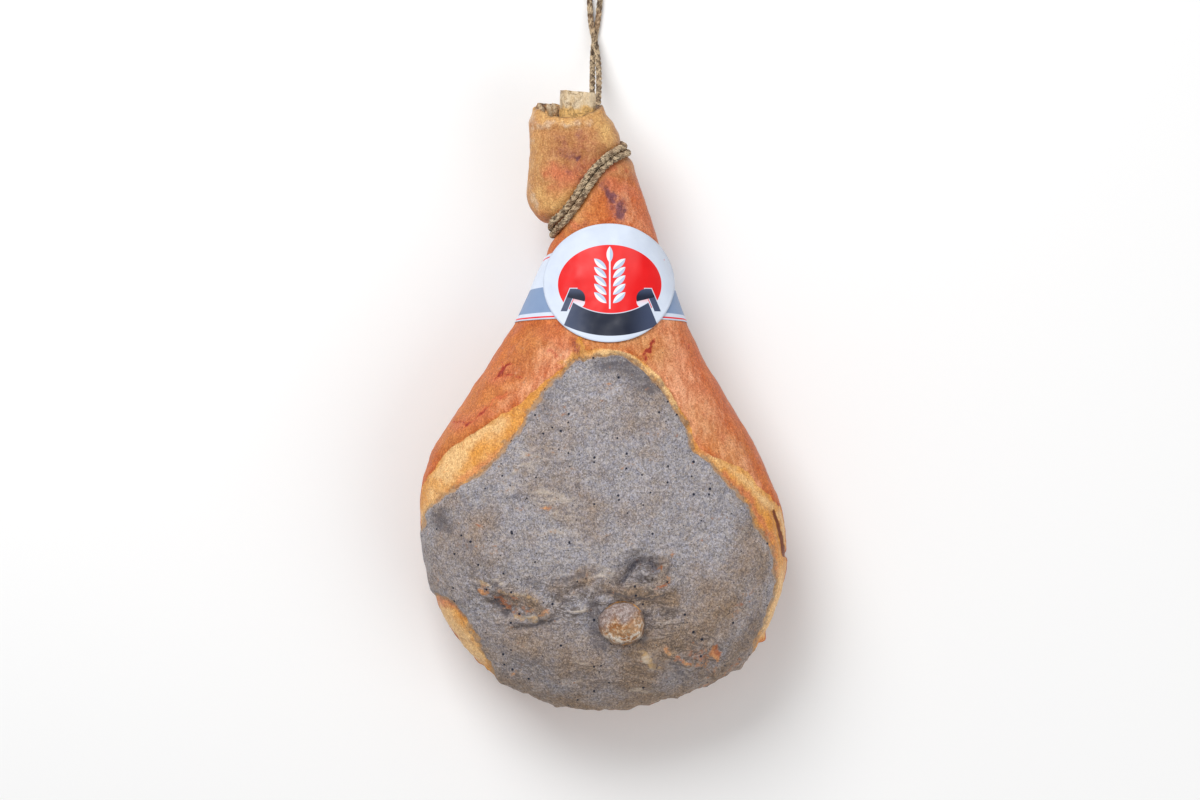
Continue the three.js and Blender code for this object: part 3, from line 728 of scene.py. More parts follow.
def creased(flat):
    """1 where the larded face is creased, round its bones and cuts, and 0 where it's smooth."""
    near = distance_to([(-104, -172), (-60, -186), (14, -176), (38, -158), (56, -214), (96, -236)], flat)
    low = distance_to([(-70, -240), (-20, -250), (50, -252)], flat)
    return np.maximum(hump(near, 26), 0.6 * hump(low, 20))


# ------------------------------------------------------------------ the cord's shape


BESIDE = (0.31, 0.21, 0.93)  # a direction that no cord runs in


def run_of(route):
    """How far along a route each of its points lies."""
    return np.linalg.norm(np.diff(route, axis=0, prepend=route[:1]), axis=1).cumsum()


def carried_frames(route):
    """Two unit vectors across a route at each of its points, carried along it without twisting."""
    forward = np.gradient(route, axis=0)
    forward /= np.linalg.norm(forward, axis=1)[:, None]
    side, sides = np.cross(forward[0], BESIDE), []
    for ahead in forward:
        side = side - ahead * (side @ ahead)
        side = side / np.linalg.norm(side)
        sides.append(side)
    return np.array(sides), np.cross(forward, sides)


def swept(name, routes, radius, sides, taper=None):
    """One mesh of closed round tubes along routes, with the length and turn stored for streaks."""
    points, faces, length, turn = [], [], [], []
    for number, route in enumerate(routes):
        route = np.array(route, float)
        steps = run_of(route)
        first = len(points)
        for i, (at, side, other) in enumerate(zip(route, *carried_frames(route))):
            wide = radius * (taper[i] if taper is not None else 1)
            for j in range(sides):
                angle = 2 * math.pi * j / sides
                points.append(at + wide * (math.cos(angle) * side + math.sin(angle) * other))
                length.append(steps[i] + 37.0 * number)
                turn.append(j / sides)
        for i in range(len(route) - 1):
            for j in range(sides):
                a, b = first + i * sides + j, first + i * sides + (j + 1) % sides
                faces.append((a, b, b + sides, a + sides))
        last = first + (len(route) - 1) * sides
        faces.append(tuple(first + j for j in reversed(range(sides))))
        faces.append(tuple(last + j for j in range(sides)))
    piece = mesh_piece(name, points, faces)
    paint(piece, length=np.array(length), turn=np.array(turn))
    return piece


def strand_routes(route, step=1.3, start=0.0, thicker=1.0):
    """The three strands of a twisted cord that follows a route in millimetres."""
    cord = settings().cord
    route = smooth_line(route, 12)
    run = run_of(route)
    places = np.linspace(0, run[-1], max(4, int(run[-1] / step)))
    route = np.stack([np.interp(places, run, route[:, i]) for i in range(3)], axis=1)
    sides, others = carried_frames(route)
    made = []
    for strand in range(3):
        angle = 2 * math.pi * (places * MM / cord.lay + strand / 3) + start
        offset = 0.235 * thicker * cord.diameter / MM * (1 + 0.05 * np.sin(places / 3.1 + strand))
        across, up = (offset * np.cos(angle))[:, None], (offset * np.sin(angle))[:, None]
        made.append(route + across * sides + up * others)
    return made


def twisted_cord(name, routes, thicker=1.0):
    """One mesh of twisted cords along routes in millimetres."""
    cord = settings().cord
    strands = []
    for i, route in enumerate(routes):
        strands += strand_routes(route, start=0.8 * i, thicker=thicker)
    return swept(name, strands, 0.275 * thicker * cord.diameter / MM, cord.sides)


def hock_axis(y):
    """The place on the hock's axis that is y along the ham, in millimetres."""
    share = (y - HOCK_AXIS[0][1]) / (HOCK_AXIS[1][1] - HOCK_AXIS[0][1])
    low, high = (np.array(end, float) for end in HOCK_AXIS)
    return low + share * (high - low)


def off_surface(surface, axis, turn, lift):
    """A place lifted off the surface, at a turn about a point of the shank's or hock's axis."""
    angle = math.radians(turn)
    away = np.array([math.cos(angle), 0, math.sin(angle)])
    hit = surface.ray_cast(Vector((axis + 150 * away) * MM), Vector(-away))[0]
    if hit is None:
        raise RuntimeError(f"no rind at {turn} degrees, {axis[1]} mm")
    return np.array(hit) / MM + lift * away


def height_at(surface, x, y):
    """The surface's height under a place, in millimetres, or None past its rim."""
    hit = surface.ray_cast(Vector((x * MM, y * MM, 1)), Vector((0, 0, -1)))[0]
    return hit.z / MM if hit else None


def on_rind(surface, turn, y, lift):
    """The middle of a cord that lies on the rind at a turn about the hock."""
    return off_surface(surface, hock_axis(y), turn, lift + 0.5 * settings().cord.diameter / MM)


def sling_route(surface):
    """The sling's one route: out along one strand, round the bight, and back along the other."""
    middle = [on_rind(surface, *place) for place in SLING_PAIR]
    strands = {}
    for side in (-1, 1):
        strand = []
        for i, (point, place) in enumerate(zip(middle, SLING_PAIR)):
            forward = middle[min(i + 1, len(middle) - 1)] - middle[max(i - 1, 0)]
            out = point - hock_axis(point[1])
            out[1] = 0
            beside = np.cross(forward, out)
            moved = point + side * STRAND_APART / 2 * beside / np.linalg.norm(beside)
            axis = hock_axis(moved[1])
            turn = math.degrees(math.atan2(moved[2] - axis[2], moved[0] - axis[0]))
            strand.append(on_rind(surface, turn, moved[1], place[2]))
        strands[side] = strand
    bight = [on_rind(surface, *place) for place in BIGHT]
    first, last = (np.array(route[0], float) for route in CORD_LEGS.values())
    return [first, *strands[-1][1:], *bight, *strands[1][:0:-1], last]


def surface_of(name):
    """A finished piece's surface, for casting rays on to."""
    bpy.context.view_layer.update()
    return BVHTree.FromObject(bpy.data.objects[name], bpy.context.evaluated_depsgraph_get())


# ------------------------------------------------------------------ materials

RIND_ORANGE, RIND_ROSE, RIND_FLECK = (0.66, 0.205, 0.05), (0.62, 0.165, 0.075), (0.90, 0.52, 0.32)
HOCK_AMBER, HOCK_GLOW, HOCK_ROSE = (0.58, 0.27, 0.085), (0.74, 0.44, 0.17), (0.50, 0.185, 0.10)
UNDER_DARK, UNDER_PALE, PORE = (0.30, 0.11, 0.03), (0.46, 0.21, 0.075), (0.26, 0.07, 0.02)
FAT_ROSE, FAT_FIBRE, FAT_FLECK = (0.66, 0.21, 0.09), (0.56, 0.17, 0.03), (0.94, 0.70, 0.36)
CUT_COLOURS = (0.09, 0.04, 0.02), (0.50, 0.30, 0.14)
BRUISE_AND_SHADE_RED, BRUISE_AND_SHADE_DARK = (0.36, 0.10, 0.08), (0.15, 0.05, 0.08)
VEIN_RED, VEIN_DARK = (0.58, 0.085, 0.03), (0.30, 0.018, 0.012)
SALT, SMEAR = (0.70, 0.53, 0.39), (0.33, 0.22, 0.14)
CRUMB, SLIT_BROWN = (0.05, 0.02, 0.018), (0.16, 0.03, 0.008)
BONE_BROWN, BONE_YELLOW, BONE_CRACK = (0.62, 0.42, 0.21), (0.76, 0.44, 0.13), (0.30, 0.16, 0.07)
MARROW, MARROW_DARK, BONE_STAIN = (0.30, 0.13, 0.06), (0.10, 0.035, 0.02), (0.26, 0.14, 0.07)
KNOB_BROWN, KNOB_TAN, KNOB_PALE = (0.40, 0.17, 0.06), (0.50, 0.28, 0.14), (0.70, 0.53, 0.36)
KNOB_RIM, KNOB_SHADE = (0.74, 0.66, 0.56), (0.16, 0.12, 0.11)
KNOB_PASTE, PEPPER = ((0.30, 0.22, 0.20), (0.50, 0.42, 0.41)), (0.03, 0.025, 0.03)
PASTE_CREASE_SHADE, PASTE_CREST_HIGHLIGHT, PASTE_THIN = (0.10, 0.075, 0.06), (0.50, 0.44, 0.38), (0.50, 0.28, 0.12)
PASTE_GOLD, PASTE_SHADE, PASTE_HOLLOW_SHADE = (0.62, 0.40, 0.18), (0.085, 0.075, 0.085), (0.060, 0.062, 0.095)
PASTE_CREAM_AND_HIGHLIGHT, RUST_PALE = (0.64, 0.54, 0.43), (0.38, 0.22, 0.15)
RUST_COLOURS = (0.40, 0.11, 0.035), (0.66, 0.31, 0.13)
CORD_BROWN, CORD_FIBRE = (0.42, 0.22, 0.11), (0.92, 0.76, 0.52)
PASTE_FLECK, PEPPER_SMALL, PEPPER_LARGE = (0.66, 0.63, 0.58), (0.03, 0.03, 0.045), (0.008, 0.012, 0.03)


class Finish:
    """A new material and short ways to add and join its shader nodes."""

    def __init__(self, name):
        self.material = bpy.data.materials.new(name)
        self.material.use_nodes = True
        self.tree = self.material.node_tree
        self.shader = self.tree.nodes["Principled BSDF"]
        self.place = self.node("ShaderNodeTexCoord").outputs["Object"]

    def node(self, kind, **values):
        """Adds a shader node and sets its values."""
        made = self.tree.nodes.new(kind)
        for name, value in values.items():
            setattr(made, name, value)
        return made

    def put(self, socket, value):
        """Links a socket into an input, or sets the input to a number or colour."""
        if isinstance(value, bpy.types.NodeSocket):
            self.tree.links.new(value, socket)
        elif hasattr(value, "__len__") and len(value) == 3 and len(socket.default_value) == 4:
            socket.default_value = (*value, 1)
        else:
            socket.default_value = value

    def layer(self, name):
        """A layer that paint() stored on the mesh."""
        return self.node("ShaderNodeAttribute", attribute_name=name).outputs["Fac"]

    def math(self, operation, first, second=0.0, clamp=False):
        made = self.node("ShaderNodeMath", operation=operation, use_clamp=clamp)
        self.put(made.inputs[0], first)
        self.put(made.inputs[1], second)
        return made.outputs[0]

    def plus(self, first, second, clamp=False):
        return self.math("ADD", first, second, clamp)

    def minus(self, first, second, clamp=False):
        return self.math("SUBTRACT", first, second, clamp)

    def times(self, first, second):
        return self.math("MULTIPLY", first, second)

    def apart(self, first, second):
        """How far two values lie apart."""
        return self.math("ABSOLUTE", self.minus(first, second))

    def either(self, first, second):
        """The larger of two values."""
        return self.math("MAXIMUM", first, second)

    def long_side(self, first, second):
        """The long side of a right triangle with these short sides."""
        return self.math("SQRT", self.plus(self.times(first, first), self.times(second, second)))

    def worn(self, value, wear, amount, middle=0.5, clamp=False):
        """value, broken up by the wear noise about its middle."""
        return self.plus(value, self.times(self.minus(wear, middle), amount), clamp)

    def marked(self, colour, strength, low, high, most, ink):
        """colour with ink on it where strength is above low, and at most a share of it."""
        return self.mix(self.ramp(strength, low, high, 0.0, most), colour, ink)

    def stained(self, colour, layer, wear, amount, *marks):
        """colour with the marks of a painted layer, whose edges the wear noise breaks up."""
        strength = self.worn(self.layer(layer), wear, amount)
        for mark in marks:
            colour = self.marked(colour, strength, *mark)
        return colour

    def mix(self, share, first, second, blend="MIX"):
        """first where share is 0 and second where it is 1."""
        made = self.node("ShaderNodeMix", data_type="RGBA", blend_type=blend)
        self.put(made.inputs["Factor"], share)
        self.put(made.inputs["A"], first)
        self.put(made.inputs["B"], second)
        return made.outputs["Result"]

    def ramp(self, value, low, high, out_low=0.0, out_high=1.0):
        """value from low to high becomes out_low to out_high, smoothly and no further."""
        made = self.node("ShaderNodeMapRange", interpolation_type="SMOOTHSTEP")
        for socket, number in zip(made.inputs, (value, low, high, out_low, out_high)):
            self.put(socket, number)
        return made.outputs["Result"]

    def noise(self, scale, detail=4.0, roughness=0.55, stretch=None, place=None, distortion=0.0):
        """Noise from 0 to 1 about 0.5, stretched along an axis where its stretch is below 1."""
        made = self.node("ShaderNodeTexNoise")
        where = place or self.place
        if stretch:
            mapping = self.node("ShaderNodeMapping")
            self.put(mapping.inputs["Vector"], where)
            self.put(mapping.inputs["Scale"], stretch)
            where = mapping.outputs["Vector"]
        self.put(made.inputs["Vector"], where)
        self.put(made.inputs["Scale"], scale)
        self.put(made.inputs["Detail"], detail)
        self.put(made.inputs["Roughness"], roughness)
        self.put(made.inputs["Distortion"], distortion)
        return made.outputs["Fac"]

    def cells(self, scale):
        """A pattern of cells, each with a colour of its own."""
        made = self.node("ShaderNodeTexVoronoi")
        self.put(made.inputs["Vector"], self.place)
        self.put(made.inputs["Scale"], scale)
        return made

    def specks(self, scale, radius, share, upright=1.0):
        """Round specks of a radius in metres, in a share of the cells. A low upright makes them tall."""
        made = self.cells(scale)
        flattened = self.node("ShaderNodeMapping")
        self.put(flattened.inputs["Vector"], self.place)
        self.put(flattened.inputs["Scale"], (1, 1, upright))
        self.put(made.inputs["Vector"], flattened.outputs["Vector"])
        picked = self.node("ShaderNodeSeparateColor")
        self.put(picked.inputs["Color"], made.outputs["Color"])
        size = self.ramp(picked.outputs["Red"], 1 - share, 1, 0.0, radius * scale)
        edge = self.minus(size, made.outputs["Distance"])
        return self.ramp(edge, 0.0, 0.25 * radius * scale)

    def grains(self, scale, low, high):
        """A colour for each small grain, between two colours."""
        picked = self.node("ShaderNodeSeparateColor")
        self.put(picked.inputs["Color"], self.cells(scale).outputs["Color"])
        return self.mix(picked.outputs["Green"], low, high)

    def tinted(self, colour, tint):
        """colour multiplied by a tint."""
        return self.mix(1.0, colour, tint, "MULTIPLY")

    def bump(self, *heights):
        """Bumps the shader's normal: pairs of height and depth in metres."""
        normal = None
        for height, depth in heights:
            made = self.node("ShaderNodeBump")
            self.put(made.inputs["Height"], height)
            made.inputs["Strength"].default_value = 1.0
            made.inputs["Distance"].default_value = depth
            if normal is not None:
                self.put(made.inputs["Normal"], normal)
            normal = made.outputs["Normal"]
        self.put(self.shader.inputs["Normal"], normal)

    def set(self, **values):
        """Sets the shader's own inputs, with _ for a space in their names."""
        for name, value in values.items():
            self.put(self.shader.inputs[name.replace("_", " ")], value)


def leg_material():
    """Rind and fat, with their stains, veins and salt."""
    leg = settings().leg
    finish = Finish("cured_rind_and_fat")
    broad = finish.noise(14, detail=3)
    middle = finish.noise(62, detail=5, roughness=0.62)
    fine = finish.noise(800, detail=3, roughness=0.7)
    fibres = finish.noise(170, detail=5, roughness=0.65, stretch=(1.0, 0.35, 1.0), distortion=0.8)
    pale = finish.plus(finish.layer("pale"), finish.ramp(broad, 0.42, 0.66, 0.0, 0.7))
    # The left's own deeper red, and painted shade on the steep sides, take the pale and the orange out of the
    # rind.
    pale = finish.minus(pale, finish.times(finish.layer("fiery"), 0.85))
    pale = finish.worn(pale, fibres, 1.8, clamp=True)
    fiery = finish.times(finish.layer("fiery"), 0.55)
    orange = finish.minus(finish.ramp(middle, 0.36, 0.6), fiery, clamp=True)
    rind = finish.mix(orange, tuple(leg.rind), RIND_ORANGE)
    rind = finish.mix(finish.times(pale, 0.85), rind, tuple(leg.rind_pale))
    tan = finish.marked(tuple(leg.rind_tan), middle, 0.5, 0.72, 0.5, HOCK_ROSE)
    rind = finish.mix(finish.layer("tan"), rind, tan)
    rind = finish.mix(finish.times(finish.layer("amber"), 0.8), rind, HOCK_AMBER)
    rind = finish.mix(finish.times(finish.layer("glow"), 0.8), rind, HOCK_GLOW)
    rind = finish.stained(rind, "rose", middle, 1.5, (0.1, 1.0, 0.8, RIND_ROSE))
    rind = finish.mix(finish.layer("underside"), rind, finish.mix(fibres, UNDER_DARK, UNDER_PALE))
    pores = finish.specks(400, 0.00045, 0.9)
    rind = finish.mix(finish.times(pores, 0.4), rind, PORE)
    flecks = finish.ramp(finish.noise(700, detail=3, roughness=0.75), 0.58, 0.74, 0.0, 0.28)
    rind = finish.mix(flecks, rind, RIND_FLECK)

    marbled = finish.noise(38, detail=6, roughness=0.66, distortion=0.4)
    cream = finish.worn(finish.layer("cream"), marbled, 2.4, middle=0.44)
    fat = finish.mix(finish.ramp(cream, -0.15, 1.35), tuple(leg.fat), tuple(leg.fat_pale))
    rose = finish.plus(finish.layer("rose"), finish.minus(marbled, 0.55))
    fat = finish.marked(fat, rose, 0.15, 0.8, 0.85, FAT_ROSE)
    fat = finish.marked(fat, fibres, 0.53, 0.68, 0.45, FAT_FIBRE)
    fat = finish.mix(flecks, fat, FAT_FLECK)
    colour = finish.mix(finish.ramp(finish.worn(finish.layer("fat"), middle, 0.7), 0.38, 0.62), rind, fat)

    torn = finish.noise(150, detail=5, roughness=0.7)
    colour = finish.mix(finish.layer("cut"), colour, finish.mix(finish.ramp(torn, 0.4, 0.62), *CUT_COLOURS))
    crusty = finish.noise(120, detail=5, roughness=0.75)
    colour = finish.stained(colour, "salt", crusty, 2.6, (0.3, 1.0, 0.7, SALT))
    # Real bruises, and painted shade in the groove left of the fat fold.
    bruise_and_shade_inks = (0.12, 0.5, 0.4, BRUISE_AND_SHADE_RED), (0.35, 0.85, 0.85, BRUISE_AND_SHADE_DARK)
    colour = finish.stained(colour, "bruise_and_groove_shade", crusty, 1.6, *bruise_and_shade_inks)
    colour = finish.stained(colour, "smear", crusty, 1.8, (0.42, 0.9, 0.85, SMEAR))
    veins = (0.15, 0.5, 0.5, VEIN_RED), (0.42, 0.78, 0.88, VEIN_DARK)
    colour = finish.stained(colour, "vein", fibres, 1.2, *veins)
    colour = finish.mix(finish.times(finish.specks(260, 0.0006, 0.5), 0.75), colour, CRUMB)
    fleshy = finish.mix(finish.ramp(fine, 0.34, 0.66), (0.84, 0.78, 0.74), (1.13, 1.16, 1.14))
    colour = finish.tinted(colour, fleshy)
    colour = finish.tinted(colour, finish.grains(820, (0.80, 0.74, 0.69), (1.17, 1.22, 1.24)))
    streaky = finish.minus(finish.ramp(fibres, 0.32, 0.66), finish.times(finish.layer("tan"), 0.3))
    colour = finish.tinted(colour, finish.mix(streaky, (0.86, 0.78, 0.72), (1.08, 1.13, 1.14)))
    colour = finish.stained(colour, "slit", fibres, 0.8, (0.35, 0.75, 0.95, SLIT_BROWN))

    finish.set(Base_Color=colour, Roughness=finish.ramp(middle, 0.3, 0.7, 0.38, 0.58), Specular_IOR_Level=0.3)
    wrinkles = finish.noise(230, detail=6, roughness=0.6, stretch=(0.5, 1.0, 1.0), distortion=1.0)
    finish.bump((wrinkles, 0.0009), (crusty, 0.0009), (fine, 0.0003), (pores, -0.0004))
    return finish.material


def bone_material():
    """Sawn bone with its marrow, and torn tendons."""
    finish = Finish("sawn_bone")
    grain = finish.noise(140, detail=6, roughness=0.7, stretch=(1.0, 0.4, 1.0), distortion=0.5)
    fine = finish.noise(800, detail=3, roughness=0.7)
    colour = finish.marked(tuple(settings().leg.bone), grain, 0.42, 0.7, 1.0, BONE_BROWN)
    colour = finish.stained(colour, "yellow", grain, 1.2, (0.2, 0.8, 0.9, BONE_YELLOW))
    cracks = finish.ramp(finish.apart(finish.noise(85, detail=4, roughness=0.6), 0.5), 0.0, 0.022, 0.6, 0.0)
    colour = finish.mix(cracks, colour, BONE_CRACK)
    marrow = finish.mix(finish.specks(520, 0.0007, 0.8), MARROW, MARROW_DARK)
    colour = finish.mix(finish.layer("marrow"), colour, marrow)
    colour = finish.mix(finish.layer("stain"), colour, BONE_STAIN)
    colour = finish.tinted(colour, finish.grains(800, (0.84, 0.82, 0.78), (1.12, 1.14, 1.15)))
    finish.set(Base_Color=colour, Roughness=0.55, Specular_IOR_Level=0.35)
    finish.bump((grain, 0.0018), (fine, 0.0006), (cracks, -0.0006))
    return finish.material


def knob_material():
    """The thigh bone's head, brown with a pale chipped rim and a smear of paste."""
    finish = Finish("thigh_bone_head")
    patches = finish.noise(75, detail=6, roughness=0.7, distortion=0.4)
    streaks = finish.noise(360, detail=4, roughness=0.7)
    colour = finish.marked(KNOB_BROWN, patches, 0.4, 0.62, 1.0, KNOB_TAN)
    colour = finish.marked(colour, streaks, 0.48, 0.66, 1.0, KNOB_PALE)
    colour = finish.stained(colour, "rim", streaks, 1.2, (0.35, 0.95, 0.9, KNOB_RIM))
    paste = finish.mix(finish.ramp(streaks, 0.4, 0.62), *KNOB_PASTE)
    colour = finish.stained(colour, "smear", patches, 1.8, (0.1, 0.95, 0.92, paste))
    colour = finish.tinted(colour, finish.grains(800, (0.72, 0.70, 0.68), (1.2, 1.22, 1.24)))
    colour = finish.mix(finish.layer("shade"), colour, KNOB_SHADE)
    colour = finish.mix(finish.specks(330, 0.0006, 0.7), colour, PEPPER)
    finish.set(Base_Color=colour, Roughness=0.55, Specular_IOR_Level=0.3)
    finish.bump((patches, 0.0030), (streaks, 0.0016))
    return finish.material


def paste_material():
    """Grey lard paste with its stains and peppercorns, painted shade in its creases, dents and hollow, and
    painted highlights on its crests and ridges.
    """
    paste = settings().paste
    finish = Finish("lard_and_pepper_paste")
    broad = finish.noise(13, detail=3)
    middle = finish.noise(55, detail=5, roughness=0.62)
    grain = finish.noise(900, detail=3, roughness=0.7)
    grit = finish.noise(250, detail=3, roughness=0.65)
    drag = finish.noise(95, detail=6, roughness=0.62, stretch=(0.4, 1.0, 1.0), distortion=0.9)
    warm = finish.plus(finish.layer("warm"), finish.ramp(broad, 0.43, 0.68, 0.0, 0.45))
    warm = finish.worn(warm, middle, 1.3, clamp=True)
    colour = finish.mix(warm, tuple(paste.cool), tuple(paste.warm))
    colour = finish.tinted(colour, finish.grains(760, (0.66, 0.66, 0.68), (1.36, 1.34, 1.32)))
    colour = finish.tinted(colour, finish.grains(1300, (0.74, 0.70, 0.64), (1.24, 1.28, 1.36)))
    gritty = finish.mix(finish.ramp(grit, 0.32, 0.68), (0.88, 0.90, 0.98), (1.12, 1.09, 1.02))
    dragged = finish.mix(finish.ramp(drag, 0.34, 0.66), (0.90, 0.89, 0.88), (1.09, 1.09, 1.09))
    colour = finish.tinted(finish.tinted(colour, gritty), dragged)
    # Painted shade along the creases and painted highlights on the crests, where the face is creased.
    crease_shade = finish.ramp(finish.apart(drag, 0.5), 0.0, 0.05, 0.85, 0.0)
    colour = finish.mix(finish.times(crease_shade, finish.layer("creased")), colour, PASTE_CREASE_SHADE)
    crest_highlight = finish.ramp(drag, 0.55, 0.68, 0.0, 0.55)
    colour = finish.mix(finish.times(crest_highlight, finish.layer("creased")), colour, PASTE_CREST_HIGHLIGHT)
    colour = finish.stained(colour, "gold", grit, 2.0, (0.25, 1.15, 0.8, PASTE_GOLD))
    # Painted shade in the paste's dents, ditches and fold lines, and next, in the hollow's trenches.
    colour = finish.stained(colour, "shade", drag, 1.4, (0.2, 1.05, 0.85, PASTE_SHADE))
    navy = finish.worn(finish.worn(finish.layer("navy"), drag, 2.0), grit, 3.0)
    colour = finish.marked(colour, navy, 0.2, 1.3, 0.8, PASTE_HOLLOW_SHADE)
    # Pale fat bits, and painted highlights on the paste's ridges and lips.
    colour = finish.stained(colour, "cream", drag, 2.4, (0.3, 1.1, 0.9, PASTE_CREAM_AND_HIGHLIGHT))
    rusty = finish.mix(finish.ramp(middle, 0.42, 0.6), *RUST_COLOURS)
    rusty = finish.tinted(rusty, finish.grains(900, (0.7, 0.66, 0.6), (1.25, 1.3, 1.35)))
    patchy = finish.plus(finish.minus(grit, 0.5), drag)
    colour = finish.stained(colour, "rust", patchy, 2.2, (0.3, 0.9, 0.5, RUST_PALE), (0.45, 1.2, 0.85, rusty))
    colour = finish.stained(colour, "thin", middle, 2.2, (0.45, 1.1, 0.8, PASTE_THIN))
    colour = finish.mix(finish.times(finish.specks(420, 0.0005, 0.8), 0.5), colour, PASTE_FLECK)
    small = finish.specks(290, 0.0007, 0.8, upright=0.4)
    large = finish.specks(135, 0.0014, 0.8, upright=0.4)
    colour = finish.mix(finish.times(small, 0.8), colour, PEPPER_SMALL)
    colour = finish.mix(finish.times(large, 0.95), colour, PEPPER_LARGE)
    finish.set(Base_Color=colour, Roughness=finish.ramp(middle, 0.3, 0.7, 0.5, 0.72), Specular_IOR_Level=0.25)
    finish.bump((drag, 0.0022), (middle, 0.0024), (grit, 0.0007), (grain, 0.0004), (large, 0.0006))
    return finish.material


def paper_finish(name, print_colour):
    """Printed paper: print_colour takes the finish and returns the colour."""
    finish = Finish(name)
    cloud = finish.noise(90, detail=4)
    fine = finish.noise(900, detail=2)
    colour = finish.tinted(print_colour(finish), finish.mix(cloud, (0.90, 0.91, 0.96), (1.06, 1.05, 1.03)))
    finish.set(Base_Color=colour, Roughness=finish.ramp(cloud, 0.3, 0.7, 0.4, 0.55), Specular_IOR_Level=0.3)
    finish.bump((finish.noise(38, detail=2), 0.0012), (fine, 0.00005))
    return finish.material


def split_place(finish):
    """The object's own x and y at each point, in metres."""
    made = finish.node("ShaderNodeSeparateXYZ")
    finish.put(made.inputs[0], finish.place)
    return made.outputs["X"], made.outputs["Y"]


def within(finish, distance, softness=0.0002):
    """1 where a distance is below 0."""
    return finish.ramp(distance, -softness, softness, 1.0, 0.0)


def strip(finish, value, middle, half):
    """How far outside a strip a value is."""
    return finish.minus(finish.apart(value, middle), half)


def radius_from(finish, centre, wide, high):
    """How far out a place is in an ellipse, 1 on its line."""
    x, y = split_place(finish)
    across = finish.math("DIVIDE", finish.minus(x, centre[0] * MM), wide * MM)
    up = finish.math("DIVIDE", finish.minus(y, centre[1] * MM), high * MM)
    return finish.long_side(across, up)


def band_print(finish):
    """The band's colour: white paper with a blue grey field and two red lines."""
    paper = settings().paper
    y = finish.layer("along_shank")
    colour = tuple(paper.white)
    for low, high, ink in (
        (78.5, 103, tuple(paper.blue)),
        (73.2, 74.9, tuple(paper.red)),
        (131.5, 133, tuple(paper.red)),
    ):
        outside = strip(finish, y, (low + high) / 2, (high - low) / 2)
        colour = finish.mix(within(finish, outside, 0.2), colour, ink)
    return colour


RED_OVAL = {"centre": (6.1, 104), "wide": 46.7, "high": 35.8}
RIBBON = {"x": 7.0, "top": (138.0, 60.6), "bottom": (153.4, 95.8), "ends": 69.6, "lean": 0.408}
NAVY_FADED, RED_SHEEN = (0.055, 0.075, 0.14), (0.88, 0.05, 0.05)
LEAF_PALE, LEAF_DARK, STEM = (0.84, 0.88, 0.95), (0.50, 0.60, 0.76), (0.78, 0.83, 0.92)
RIBBON_PINK = (0.80, 0.76, 0.84), (0.84, 0.30, 0.32)
LEAF = {"half_length": 7.4, "half_width": 2.9, "apart": 7.6, "lean": 0.85, "edge": 0.00025}


def oval_print(finish):
    """The label's colour: a red oval with a sprig and an empty ribbon on it."""
    paper = settings().paper
    red = radius_from(finish, **RED_OVAL)
    sheen = finish.noise(30, detail=2, stretch=(1.0, 0.2, 1.0))
    ink = finish.marked(tuple(paper.red), sheen, 0.42, 0.66, 1.0, RED_SHEEN)
    colour = finish.mix(within(finish, finish.minus(red, 1.0), 0.003), tuple(paper.white), ink)
    return ribbon_print(finish, leaf_print(finish, colour))


def leaf_print(finish, colour):
    """A plain upright sprig: a stem with pairs of pointed leaves and one at the tip."""
    x, y = split_place(finish)
    middle = RED_OVAL["centre"][0]
    half_length, half_width = LEAF["half_length"] * MM, LEAF["half_width"] * MM
    # two circles that overlap by a leaf's width leave a pointed leaf
    circle = (half_length**2 + half_width**2) / (2 * half_width)
    leaves = [(side * 8.5, 92 + LEAF["apart"] * i, side * LEAF["lean"]) for side in (-1, 1) for i in range(5)]
    for across, up, lean in [*leaves, (0.0, 131.0, 0.0)]:
        dx, dy = finish.minus(x, (middle + across) * MM), finish.minus(y, up * MM)
        cos, sin = math.cos(lean), math.sin(lean)
        beside = finish.plus(finish.times(dx, cos), finish.times(dy, -sin))
        along = finish.plus(finish.times(dx, sin), finish.times(dy, cos))
        out = finish.plus(finish.math("ABSOLUTE", beside), circle - half_width)
        leaf = within(finish, finish.minus(finish.long_side(out, along), circle), LEAF["edge"])
        halves = finish.mix(finish.ramp(beside, -0.0002, 0.0002), LEAF_PALE, LEAF_DARK)
        colour = finish.mix(leaf, colour, halves)
    stem = finish.either(strip(finish, x, middle * MM, 0.7 * MM), strip(finish, y, 104 * MM, 22 * MM))
    return finish.mix(within(finish, stem, LEAF["edge"]), colour, STEM)


